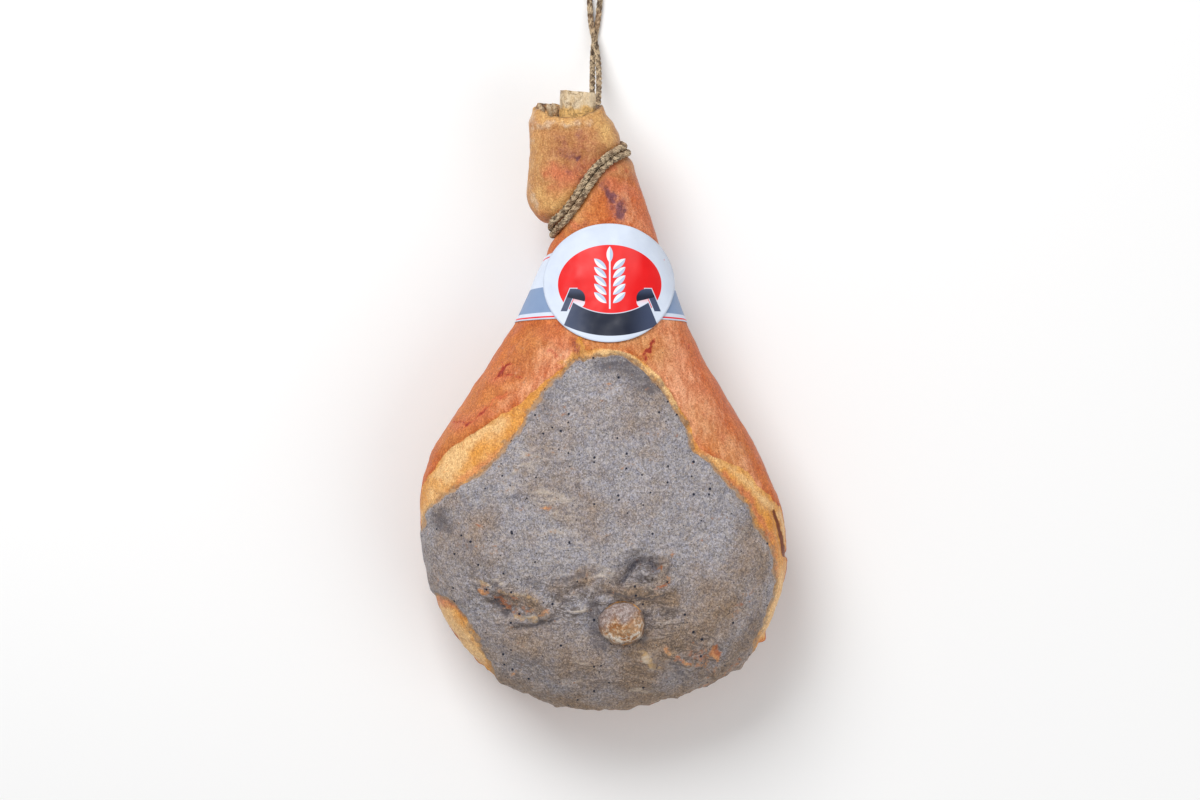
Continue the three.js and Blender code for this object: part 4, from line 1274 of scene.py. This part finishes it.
def ribbon_print(finish, colour):
    """A plain curved ribbon, with both its ends curled up and folded down behind it."""
    paper = settings().paper
    x, y = split_place(finish)
    dx = finish.minus(x, RIBBON["x"] * MM)
    beside = finish.math("ABSOLUTE", dx)

    def from_arc(centre_y, radius):
        """How far outside a circle on the ribbon's middle line a place is."""
        return finish.minus(finish.long_side(dx, finish.minus(y, centre_y * MM)), radius * MM)

    def lobe(across, up, wide, high):
        """How far outside an ellipse on either side of the ribbon's middle a place is."""
        first = finish.math("DIVIDE", finish.minus(beside, across * MM), wide * MM)
        second = finish.math("DIVIDE", finish.minus(y, up * MM), high * MM)
        return finish.times(finish.minus(finish.long_side(first, second), 1), high * MM)

    slanted = finish.plus(beside, finish.times(y, 0.42))
    tail = finish.either(strip(finish, slanted, 75.8 * MM, 2.9 * MM), strip(finish, y, 90.0 * MM, 10.2 * MM))
    tilted = finish.plus(finish.times(finish.minus(beside, 30 * MM), 0.25), 90.2 * MM)
    curl = finish.either(lobe(31.2, 91.6, 8.2, 8.4), finish.minus(tilted, y))
    end = finish.minus(finish.plus(beside, finish.times(y, RIBBON["lean"])), RIBBON["ends"] * MM)
    above = finish.times(from_arc(*RIBBON["top"]), -1)
    front = finish.either(finish.either(above, from_arc(*RIBBON["bottom"])), end)
    gap = 0.7 * MM
    navy, white = tuple(paper.navy), tuple(paper.white)
    for shape, ink in (
        (finish.minus(tail, gap), white),
        (tail, NAVY_FADED),
        (lobe(28.6, 88.4, 5.4, 5.4), finish.mix(finish.ramp(y, 0.086, 0.094), *RIBBON_PINK)),
        (curl, finish.marked(navy, y, 0.092, 0.101, 1.0, NAVY_FADED)),
        (finish.minus(front, gap), white),
        (front, finish.marked(navy, beside, 0.012, 0.040, 0.9, NAVY_FADED)),
    ):
        colour = finish.mix(within(finish, shape), colour, ink)
    return colour


def cord_material():
    """Twisted hemp, with fibres along each strand and dirt in between."""
    cord = settings().cord
    finish = Finish("twisted_hemp")
    where = finish.node("ShaderNodeCombineXYZ")
    finish.put(where.inputs["X"], finish.times(finish.layer("length"), 0.11))
    round_turn = finish.times(finish.layer("turn"), 2 * math.pi)
    finish.put(where.inputs["Y"], finish.math("SINE", round_turn))
    finish.put(where.inputs["Z"], finish.math("COSINE", round_turn))
    place = where.outputs["Vector"]
    fibres = finish.noise(5.5, detail=5, roughness=0.75, stretch=(0.5, 1.0, 1.0), place=place)
    dirt = finish.noise(190, detail=4, roughness=0.7)
    broad = finish.noise(45, detail=2)
    dirty = finish.ramp(dirt, 0.38, 0.62, -0.6, 0.35)
    clean = finish.plus(finish.ramp(fibres, 0.40, 0.58), dirty, clamp=True)
    colour = finish.mix(clean, tuple(cord.dark), tuple(cord.pale))
    colour = finish.marked(colour, broad, 0.42, 0.65, 0.35, CORD_BROWN)
    colour = finish.marked(colour, fibres, 0.58, 0.72, 0.7, CORD_FIBRE)
    finish.set(Base_Color=colour, Roughness=0.85, Specular_IOR_Level=0.2)
    finish.bump((fibres, 0.0012), (dirt, 0.0008))
    return finish.material


def plain_material(name, colour, roughness):
    """A material of one colour."""
    finish = Finish(name)
    finish.set(Base_Color=tuple(colour), Roughness=roughness, Specular_IOR_Level=0.2)
    return finish.material


def shared(name, make):
    """A material that several pieces share, made once."""
    return bpy.data.materials.get(name) or make()


def finish_cord(piece, *nodes):
    """Finishes a piece of cord, in the material that all of them share."""
    finish_piece(piece, shared("twisted_hemp", cord_material), "twisted_cord", *nodes)


# ------------------------------------------------------------------ operators

CAMERA_SIDE = -2.7  # how far the camera stands to the side of the ham's middle
SENSOR = 36  # the width of the camera's sensor in millimetres
LIGHTS = (  # name, place and size in metres, share of the key light's power
    ("key_light", (-0.9, 1.5, 2.1), 1.6, 1),
    ("fill_light", (1.6, -0.9, 1.9), 2.0, 0.32),
)
WORLD_STRENGTH = 0.45
OVAL = {"x": 5.3, "y": 105.3, "wide": 118.0, "high": 107.4}
LABEL_RIM = 70.0  # the label's height where it stands out past the shank
BAND = (71.0, 137.0)
SHANK_MIDDLE = 79  # the height of the shank's middle line
STUB = {"x": -22.8, "z": 86.5, "half_width": 16.5, "half_height": 14.0}
STUB_DEPTH = 46.0
MARROW_DEPTH = 6.0
KNOB_HALF_SIZE = (20.5, 19.8, 16.5)
KNOB_SUNK = 11.8  # how far the middle of the thigh bone's head lies under the face
BONE_VOXEL = 0.0008  # in metres, as the other mesh sizes are
PASTE_BODY = 3.5  # how far the paste's mesh goes down into the leg
BAND_MESH = {"across": 200, "lap": 12, "rows": 24}
LABEL_MESH = {"rings": 30, "sides": 120}
KNOT = {"turns": 3, "start": 440.5, "wide": 6.3, "pitch": 5.0, "steps": 10, "x": -4.5, "z": 9.3}
LOOSE_FIBRES = 26  # at each tail of the knot
FIBRE_RADIUS = 0.28


class HAM_OT_stage(Operator):
    """Adds the camera straight above the ham, a large soft light, a fill and a pale floor"""

    bl_idname = "ham.stage"
    bl_label = "Stage"

    def execute(self, context):
        stage = settings().stage
        height = stage.rim + stage.height
        bpy.ops.object.camera_add(location=(CAMERA_SIDE * MM, 0, height), rotation=(0, 0, 0))
        camera = context.object
        camera.name = "camera"
        camera.data.sensor_width = SENSOR
        camera.data.lens = SENSOR * stage.height / stage.field
        context.scene.camera = camera
        for name, place, size, share in LIGHTS:
            bpy.ops.object.light_add(type="AREA", location=place)
            light = context.object
            light.name = name
            light.data.size = size
            light.data.energy = share * stage.key
            light.rotation_euler = Vector(place).to_track_quat("Z", "Y").to_euler()
        bpy.ops.mesh.primitive_plane_add(size=8)
        floor = context.object
        floor.name = "floor"
        floor.data.materials.append(plain_material("pale_floor", stage.floor, 0.9))
        world = bpy.data.worlds.new("studio")
        world.use_nodes = True
        background = world.node_tree.nodes["Background"]
        background.inputs["Color"].default_value = (1, 1, 1, 1)
        background.inputs["Strength"].default_value = WORLD_STRENGTH
        context.scene.world = world
        context.scene.view_settings.view_transform = "Standard"
        return {"FINISHED"}


class HAM_OT_cord_legs(Operator):
    """Lays the cord's two free legs from the sling, down to the table and on to the knot"""

    bl_idname = "ham.cord_legs"
    bl_label = "Cord legs"

    def execute(self, context):
        for name, route in CORD_LEGS.items():
            piece = twisted_cord(name + "_twisted", [route])
            finish_cord(piece, name)
        return {"FINISHED"}


class HAM_OT_leg(Operator):
    """Models the leg: its rind, trimmed fat, sawn end and the groove under the cord"""

    bl_idname = "ham.leg"
    bl_label = "Leg"

    def execute(self, context):
        piece = leg_surface("leg", settings().leg.voxel)
        points, normals = points_of(piece), points_of(piece, "normal")
        flat = points[:, :2]
        upper = smoothstep(44, 60, points[:, 2])
        face = inside_by(FACE_EDGE, flat) + lumps(points, (1.2, 9, 5), (0.5, 3.5, 6))
        # the fat's lower edge runs round the side, and rises toward the hock
        low_edge = 62 + lumps(points, (3.5, 30, 8), (1.2, 8, 9)) + 24 * smoothstep(-150, -80, points[:, 1])
        face = np.minimum(face, points[:, 2] - low_edge)
        is_face = smoothstep(-1.2, 1.2, face)
        lip = hump(np.minimum(face, 0), 9) * (1 - is_face) * upper
        rope = distance_to(smooth_line(sling_route(surface_of("leg")), 3), points)
        height = (
            1.6 * upper * relief(LEG_RELIEF, wandering(points, 0.6))
            + upper * is_face * face_height(points)
            + 1.5 * lip
            + (1.2 - 0.8 * is_face) * noise(points, 48, seed=1)
            + lumps(points, (0.55, 17, 2), (0.22, 6, 7))
            - 2.6 * hump(rope, 5.5)
            + 1.1 * hump(rope - 11, 5.5)
            + butt_lumps(points)
            + 5.0 * hump(distance_to([NUB], points), 4.5)
            - 3.6 * hump(distance_to(SLIT, flat), 2.4) * upper
            + fuller_sides(points)
        )
        beyond = points[:, 1] - sawn_end(points)
        at_end = smoothstep(-2.5, -0.5, beyond) * smoothstep(0.25, 0.6, normals[:, 1])
        height *= 1 - smoothstep(-12, -3, beyond)
        points += height[:, None] * normals
        points[:, 1] += at_end * self.end_height(points)
        points[:, 2] = np.maximum(points[:, 2], 0)
        set_points(piece, points)
        moved = wandering(points)
        layers = {name: values * upper for name, values in stains(LEG_STAINS, moved).items()}
        cut = at_end * smoothstep(1.02, 0.86, self.end_radius(points))
        hock = smoothstep(176, 214, points[:, 1] - 0.35 * points[:, 0])
        behind = smoothstep(60, 20, points[:, 2]) * smoothstep(220, 60, points[:, 1])
        fat = np.maximum(is_face * smoothstep(60, 40, points[:, 1]), layers.pop("fold"))
        smear = 0.8 * upper * hump(np.minimum(paste_reach(points), 0), 5)
        # The rind is a deeper red of its own on the left. Where it slopes away from the top it is painted a
        # darker, deeper red, which is painted shade on its sides.
        left = smoothstep(-20, -110, points[:, 0] - 0.55 * points[:, 1])
        steep_side_shade = 0.7 * smoothstep(0.72, 0.4, normals[:, 2]) * upper
        fiery = np.maximum(left, steep_side_shade) * (1 - hock)
        slit = 1.2 * hump(distance_to(SLIT, flat + 0.25 * (moved - flat)), 2.0)
        slit *= smoothstep(61, 69, points[:, 2])
        paint(piece, fat=fat, tan=0.85 * hock, underside=behind, cut=cut, smear=smear, fiery=fiery)
        paint(piece, slit=slit, **layers)
        finish_piece(piece, leg_material(), "cured_ham", "ham_leg")
        return {"FINISHED"}

    @staticmethod
    def end_radius(points):
        """How far out a point of the sawn end is, 1 on the end's outline."""
        across = np.abs(points[:, 0] - SAWN_MIDDLE[0]) / 33
        up = np.abs(points[:, 2] - SAWN_MIDDLE[1]) / 29
        return (across**2.6 + up**2.6) ** (1 / 2.6)

    def end_height(self, points):
        """How far the sawn end stands out along the hock, in millimetres."""
        radius = self.end_radius(points)
        corners = smoothstep(14, 30, np.abs(points[:, 0] - SAWN_MIDDLE[0]))
        ragged = lumps(points, (1.6, 9, 11), (0.8, 4, 12))
        sunk = smoothstep(0.92, 0.62, radius)
        hollow = hump(points[:, 0] + 48, 9) * hump(points[:, 2] - 84, 15)
        wall = hump(points[:, 0] + 47, 11) * smoothstep(78, 64, points[:, 2])
        return 5.0 * corners * smoothstep(0.5, 0.9, radius) - 3.0 * sunk - 6.0 * hollow + 7.0 * wall + ragged


class HAM_OT_hock_bone(Operator):
    """Models the sawn stub of the shin bone, with its marrow, and the torn tendons beside it"""

    bl_idname = "ham.hock_bone"
    bl_label = "Hock bone and tendons"

    def execute(self, context):
        self.stub()
        self.tendons()
        return {"FINISHED"}

    def stub(self):
        """The sawn stub of the shin bone, with a hollow for its marrow."""
        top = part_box("ham_leg")[1].y
        depth = STUB_DEPTH * MM
        middle = (STUB["x"] * MM, top - depth / 2, STUB["z"] * MM)
        half_size = (STUB["half_width"] * MM, STUB["half_height"] * MM, 1)
        select_none()
        bpy.ops.mesh.primitive_cylinder_add(
            vertices=28, radius=1, depth=depth, location=middle, rotation=(-math.pi / 2, 0, 0)
        )
        piece = named_and_sized("hock_bone_stub", half_size)
        set_mode("EDIT")
        bpy.ops.mesh.select_mode(type="FACE")
        bpy.ops.mesh.select_all(action="DESELECT")
        set_mode("OBJECT")
        for face in piece.data.polygons:
            face.select = face.normal.y > 0.9
        set_mode("EDIT")
        bpy.ops.mesh.inset(thickness=0.0012)
        bpy.ops.mesh.inset(thickness=0.0044)
        bpy.ops.mesh.extrude_region_move(TRANSFORM_OT_translate={"value": (0, -MARROW_DEPTH * MM, 0)})
        bpy.ops.mesh.inset(thickness=0.002)
        set_mode("OBJECT")
        apply_modifier(piece, "REMESH", mode="VOXEL", voxel_size=BONE_VOXEL)
        apply_modifier(piece, "SMOOTH", factor=0.5, iterations=5)
        points, normals = points_of(piece), points_of(piece, "normal")
        from_axis = points - np.array([STUB["x"], 0, STUB["z"]])
        boxy = 1.6 * np.cos(4 * np.arctan2(from_axis[:, 2], from_axis[:, 0]) + 0.5)
        end = smoothstep(0.4, 0.8, normals[:, 1])
        height = (1 - end) * (0.5 - boxy * 0.8) + lumps(points, (0.5, 11, 21), (0.25, 4, 22))
        height += (1 - end) * 1.2 * smoothstep(268, 252, points[:, 1])
        points += height[:, None] * normals
        points[:, 1] -= 0.1 * (points[:, 0] - STUB["x"]) + 0.6
        set_points(piece, points)
        radius = np.hypot(from_axis[:, 0] / STUB["half_width"], from_axis[:, 2] / STUB["half_height"])
        depth_in = smoothstep(1.5, 3.5, top / MM - points[:, 1])
        lower = smoothstep(270, 261, points[:, 1] + 2 * noise(points, 8, seed=23))
        paint(
            piece,
            marrow=smoothstep(0.72, 0.58, radius),
            yellow=0.85 * lower,
            stain=0.5 * smoothstep(-30, -38, points[:, 0]) * (1 - depth_in),
        )
        finish_piece(piece, shared("sawn_bone", bone_material), "cured_ham")

    def tendons(self):
        """Four torn tendon ends in the hollow beside the bone."""
        routes = [
            [(-47, 252, 92), (-48, 262, 95), (-50, 268, 97)],
            [(-53, 250, 90), (-55, 261, 93), (-57, 266, 94)],
            [(-43, 250, 80), (-44, 262, 80), (-46, 270, 79)],
            [(-56, 250, 76), (-57, 262, 75), (-58, 270, 73)],
        ]
        routes = [smooth_line(route, 7) for route in routes]
        bulge = np.concatenate([np.linspace(1.0, 1.08, 11), [1.0, 0.8, 0.5, 0.15]])
        piece = swept("torn_tendons", routes, 2.6, 12, taper=bulge)
        points = points_of(piece)
        push(piece, points, points_of(piece, "normal"), 0.5 * noise(points, 3.5, seed=31))
        apply_modifier(piece, "SUBSURF", levels=1, render_levels=1)
        paint(piece, yellow=0.25, marrow=0.0, stain=0.35)
        finish_piece(piece, shared("sawn_bone", bone_material), "cured_ham")


class HAM_OT_thigh_bone(Operator):
    """Models the head of the thigh bone, which stands out of the larded face"""

    bl_idname = "ham.thigh_bone"
    bl_label = "Thigh bone head"

    def execute(self, context):
        x, y = KNOB
        ground = height_at(surface_of("leg"), x, y)
        middle = (x * MM, y * MM, (ground - KNOB_SUNK) * MM)
        select_none()
        bpy.ops.mesh.primitive_uv_sphere_add(segments=64, ring_count=48, radius=1, location=middle)
        piece = named_and_sized("thigh_bone_knob", [half * MM for half in KNOB_HALF_SIZE])
        apply_modifier(piece, "REMESH", mode="VOXEL", voxel_size=BONE_VOXEL)
        points, normals = points_of(piece), points_of(piece, "normal")
        flat = points[:, :2] - KNOB
        radius = np.linalg.norm(flat, axis=1)
        points[:, 2] -= 0.35 * np.maximum(points[:, 2] - (ground + 3.2), 0)
        ring = hump(radius - 17, 2.2)
        turn = np.arctan2(flat[:, 1], flat[:, 0])
        rings = np.stack([1.5 * radius, 5 * np.cos(turn), 5 * np.sin(turn)], axis=1)
        chipped = ridges(rings, 3.0, 44)
        height = lumps(points, (1.5, 13, 41), (0.9, 5, 42)) + 0.9 * ring + 0.5 * chipped
        push(piece, points, normals, height)
        toward = flat @ np.array([-0.35, 0.94])
        chips = 0.35 + 0.65 * np.maximum(chipped, 0)
        paint(
            piece,
            rim=smoothstep(8, 15, radius) * smoothstep(6, -8, toward) * chips,
            shade=0.75 * smoothstep(17.5, 20.5, radius),
            smear=smoothstep(-9, 12, toward + 5 * noise(points, 9, seed=43)),
        )
        finish_piece(piece, knob_material(), "cured_ham")
        return {"FINISHED"}


class HAM_OT_paste(Operator):
    """Spreads the lard and pepper paste over the trimmed face, thin at its edge"""

    bl_idname = "ham.paste"
    bl_label = "Lard paste"

    def execute(self, context):
        paste = settings().paste
        piece = leg_surface("paste", paste.voxel)
        reach = paste_reach(points_of(piece))
        self.keep_where(piece, reach > -3.0)
        points, normals = points_of(piece), points_of(piece, "normal")
        reach = paste_reach(points)
        flat = points[:, :2]
        lifted = paste.thickness / MM * smoothstep(-1.5, 5.5, reach) - 1.1 * smoothstep(1.5, -2.5, reach)
        height = lifted + face_height(points) + lumps(points, (0.22, 6.5, 13), (0.10, 3.2, 14))
        height += butt_lumps(points) + fuller_sides(points)
        height -= 3.2 * smoothstep(21.5, 19.0, np.linalg.norm(flat - KNOB, axis=1))
        push(piece, points, normals, height)
        layers = stains(PASTE_STAINS, wandering(points))
        paint(piece, thin=smoothstep(6, 0, reach), creased=creased(flat), **layers)
        apply_modifier(piece, "SOLIDIFY", thickness=PASTE_BODY * MM, offset=-1)
        finish_piece(piece, paste_material(), "lard_paste", "lard_paste")
        return {"FINISHED"}

    @staticmethod
    def keep_where(piece, kept):
        """Deletes the points of a mesh that aren't kept."""
        select_only(piece)
        set_mode("EDIT")
        bpy.ops.mesh.select_mode(type="VERT")
        set_mode("OBJECT")
        piece.data.vertices.foreach_set("select", ~kept)
        set_mode("EDIT")
        bpy.ops.mesh.delete(type="VERT")
        set_mode("OBJECT")


class HAM_OT_band(Operator):
    """Wraps the printed paper band round the shank, lapped at the back"""

    bl_idname = "ham.band"
    bl_label = "Paper band"

    def execute(self, context):
        surface = surface_of("leg")
        low, high = BAND
        across, lap, rows = BAND_MESH.values()
        points, faces, place = [], [], []
        for i in range(across + lap + 1):
            turn = 262 + 360 * i / across
            lift = 0.55 + 0.75 * smoothstep(across - 4, across + lap, i)
            # the ring leans, so that it lies lower at the sides and behind
            around = 1 - math.sin(math.radians(turn))
            narrower = 5.0 * smoothstep(0, 1, around)
            for j in range(rows + 1):
                up = j / rows
                y = low + 2.0 - 4.0 * around + (high - low - narrower) * up
                points.append(off_surface(surface, np.array([0, y, SHANK_MIDDLE]), turn, lift))
                place.append(low + (high - low) * up)
        for i in range(across + lap):
            for j in range(rows):
                a = i * (rows + 1) + j
                faces.append((a, a + 1, a + rows + 2, a + rows + 1))
        piece = mesh_piece("paper_band_wrapped", points, faces)
        paint(piece, along_shank=np.array(place))
        apply_modifier(piece, "SMOOTH", factor=0.5, iterations=6)
        points = points_of(piece)
        push(piece, points, points_of(piece, "normal"), 0.35 * noise(points, 24, seed=51))
        apply_modifier(piece, "SOLIDIFY", thickness=settings().paper.thickness, offset=1)
        finish_piece(piece, paper_finish("band_paper", band_print), "band_paper", "paper_band")
        return {"FINISHED"}


class HAM_OT_label(Operator):
    """Sticks the oval label on the band"""

    bl_idname = "ham.label"
    bl_label = "Oval label"

    def execute(self, context):
        surface = surface_of("leg")
        rings, sides = LABEL_MESH.values()
        points, faces = [], []
        for i in range(rings + 1):
            for j in range(sides if i else 1):
                angle = 2 * math.pi * j / sides
                x = OVAL["x"] + OVAL["wide"] / 2 * i / rings * math.cos(angle)
                y = OVAL["y"] + OVAL["high"] / 2 * i / rings * math.sin(angle)
                points.append((x, y, height_at(surface, x, y) or LABEL_RIM))
        for j in range(sides):
            here, after = 1 + j, 1 + (j + 1) % sides
            faces.append((0, here, after))
            for inner in range(0, (rings - 1) * sides, sides):
                outer = inner + sides
                faces.append((here + inner, here + outer, after + outer, after + inner))
        piece = mesh_piece("oval_label_paper", points, faces)
        flat = points_of(piece)
        apply_modifier(piece, "SMOOTH", factor=0.5, iterations=10, use_x=False, use_y=False)
        points = points_of(piece)
        points[:, 2] = np.maximum(points[:, 2], flat[:, 2])
        set_points(piece, points)
        points = points + (1.9 + 0.3 * noise(points, 22, seed=52))[:, None] * points_of(piece, "normal")
        points[:, :2] = flat[:, :2] + 0.3 * (points[:, :2] - flat[:, :2])
        set_points(piece, points)
        apply_modifier(piece, "SOLIDIFY", thickness=settings().paper.thickness, offset=1)
        finish_piece(piece, paper_finish("label_paper", oval_print), "label_paper", "oval_label")
        return {"FINISHED"}


class HAM_OT_sling(Operator):
    """Winds the doubled cord round the shank and hitches it at the back"""

    bl_idname = "ham.sling"
    bl_label = "Cord sling"

    def execute(self, context):
        surface = surface_of("leg")
        piece = twisted_cord("cord_sling_twisted", [sling_route(surface)], thicker=SLING_THICKER)
        finish_cord(piece, "cord_sling")
        return {"FINISHED"}


class HAM_OT_knot(Operator):
    bl_idname = "ham.knot"
    bl_label = "Cord knot"

    def execute(self, context):
        ends = [np.array(route[-1], float) for route in CORD_LEGS.values()]
        core_1 = [ends[0], (-1.5, 441, 7.5), (-3, 448, 9), (-4.5, 454, 8)]
        core_1 += [(-8, 461, 5), (-11, 468, 3.2), (-13, 475, 3)]
        wraps = []
        for step in range(KNOT["turns"] * KNOT["steps"] + 1):
            angle = 2 * math.pi * step / KNOT["steps"] - 2.2
            x, z = KNOT["x"] + KNOT["wide"] * math.cos(angle), KNOT["z"] + KNOT["wide"] * math.sin(angle)
            wraps.append((x, KNOT["start"] + KNOT["pitch"] * step / KNOT["steps"], z))
        core_2 = [ends[1], (-11.5, 438.5, 5.4), *wraps, (1.5, 459, 4.6), (2.5, 466, 3.1), (3.5, 474, 3)]
        knot = twisted_cord("cord_knot_tied", [core_1, core_2])
        finish_cord(knot, "cord_knot")
        self.frayed_ends([core_1[-1], core_2[-1]])
        return {"FINISHED"}

    @staticmethod
    def frayed_ends(tips):
        """A small brush of loose fibres at each tail."""
        rng = np.random.default_rng(5)
        routes = []
        for tip in tips:
            for _ in range(LOOSE_FIBRES):
                spread = rng.normal(0, 1, 3) * (0.9, 0.3, 0.6)
                root = np.array(tip) + (spread[0], -2, spread[2] + 0.3)
                end = root + (2.2 * spread[0], 5 + 2 * rng.random(), 0.9 * spread[2])
                end[2] = max(end[2], 0.5)
                routes.append([root, (root + end) / 2 + (0, 0, 0.4), end])
        piece = swept("frayed_ends", routes, FIBRE_RADIUS, 4)
        finish_cord(piece)


class HAM_PT_sidebar(Panel):
    """Lists the ham's pieces, each with a button that models it"""

    bl_idname = "HAM_PT_sidebar"
    bl_label = "Cured Ham"
    bl_space_type = "VIEW_3D"
    bl_region_type = "UI"
    bl_category = "Cured Ham"

    def draw(self, context):
        for step in STEPS:
            self.layout.operator(step.bl_idname)
        for group in (settings().leg, settings().paste, settings().paper, settings().cord, settings().stage):
            column = self.layout.column()
            for name in group.bl_rna.properties.keys():
                if name not in ("rna_type", "name"):
                    column.prop(group, name)


STEPS = (
    HAM_OT_stage,
    HAM_OT_cord_legs,
    HAM_OT_leg,
    HAM_OT_sling,
    HAM_OT_hock_bone,
    HAM_OT_thigh_bone,
    HAM_OT_paste,
    HAM_OT_band,
    HAM_OT_label,
    HAM_OT_knot,
)
GROUPS = (LegSettings, PasteSettings, PaperSettings, CordSettings, StageSettings, HamSettings)
CLASSES = (*GROUPS, *STEPS, HAM_PT_sidebar)


def register():
    for cls in CLASSES:
        bpy.utils.register_class(cls)
    bpy.types.Scene.cured_ham = PointerProperty(type=HamSettings)


def unregister():
    del bpy.types.Scene.cured_ham
    for cls in reversed(CLASSES):
        bpy.utils.unregister_class(cls)


def main():
    register()
    for step in STEPS:
        group, name = step.bl_idname.split(".")
        getattr(getattr(bpy.ops, group), name)()


if __name__ == "__main__":
    main()
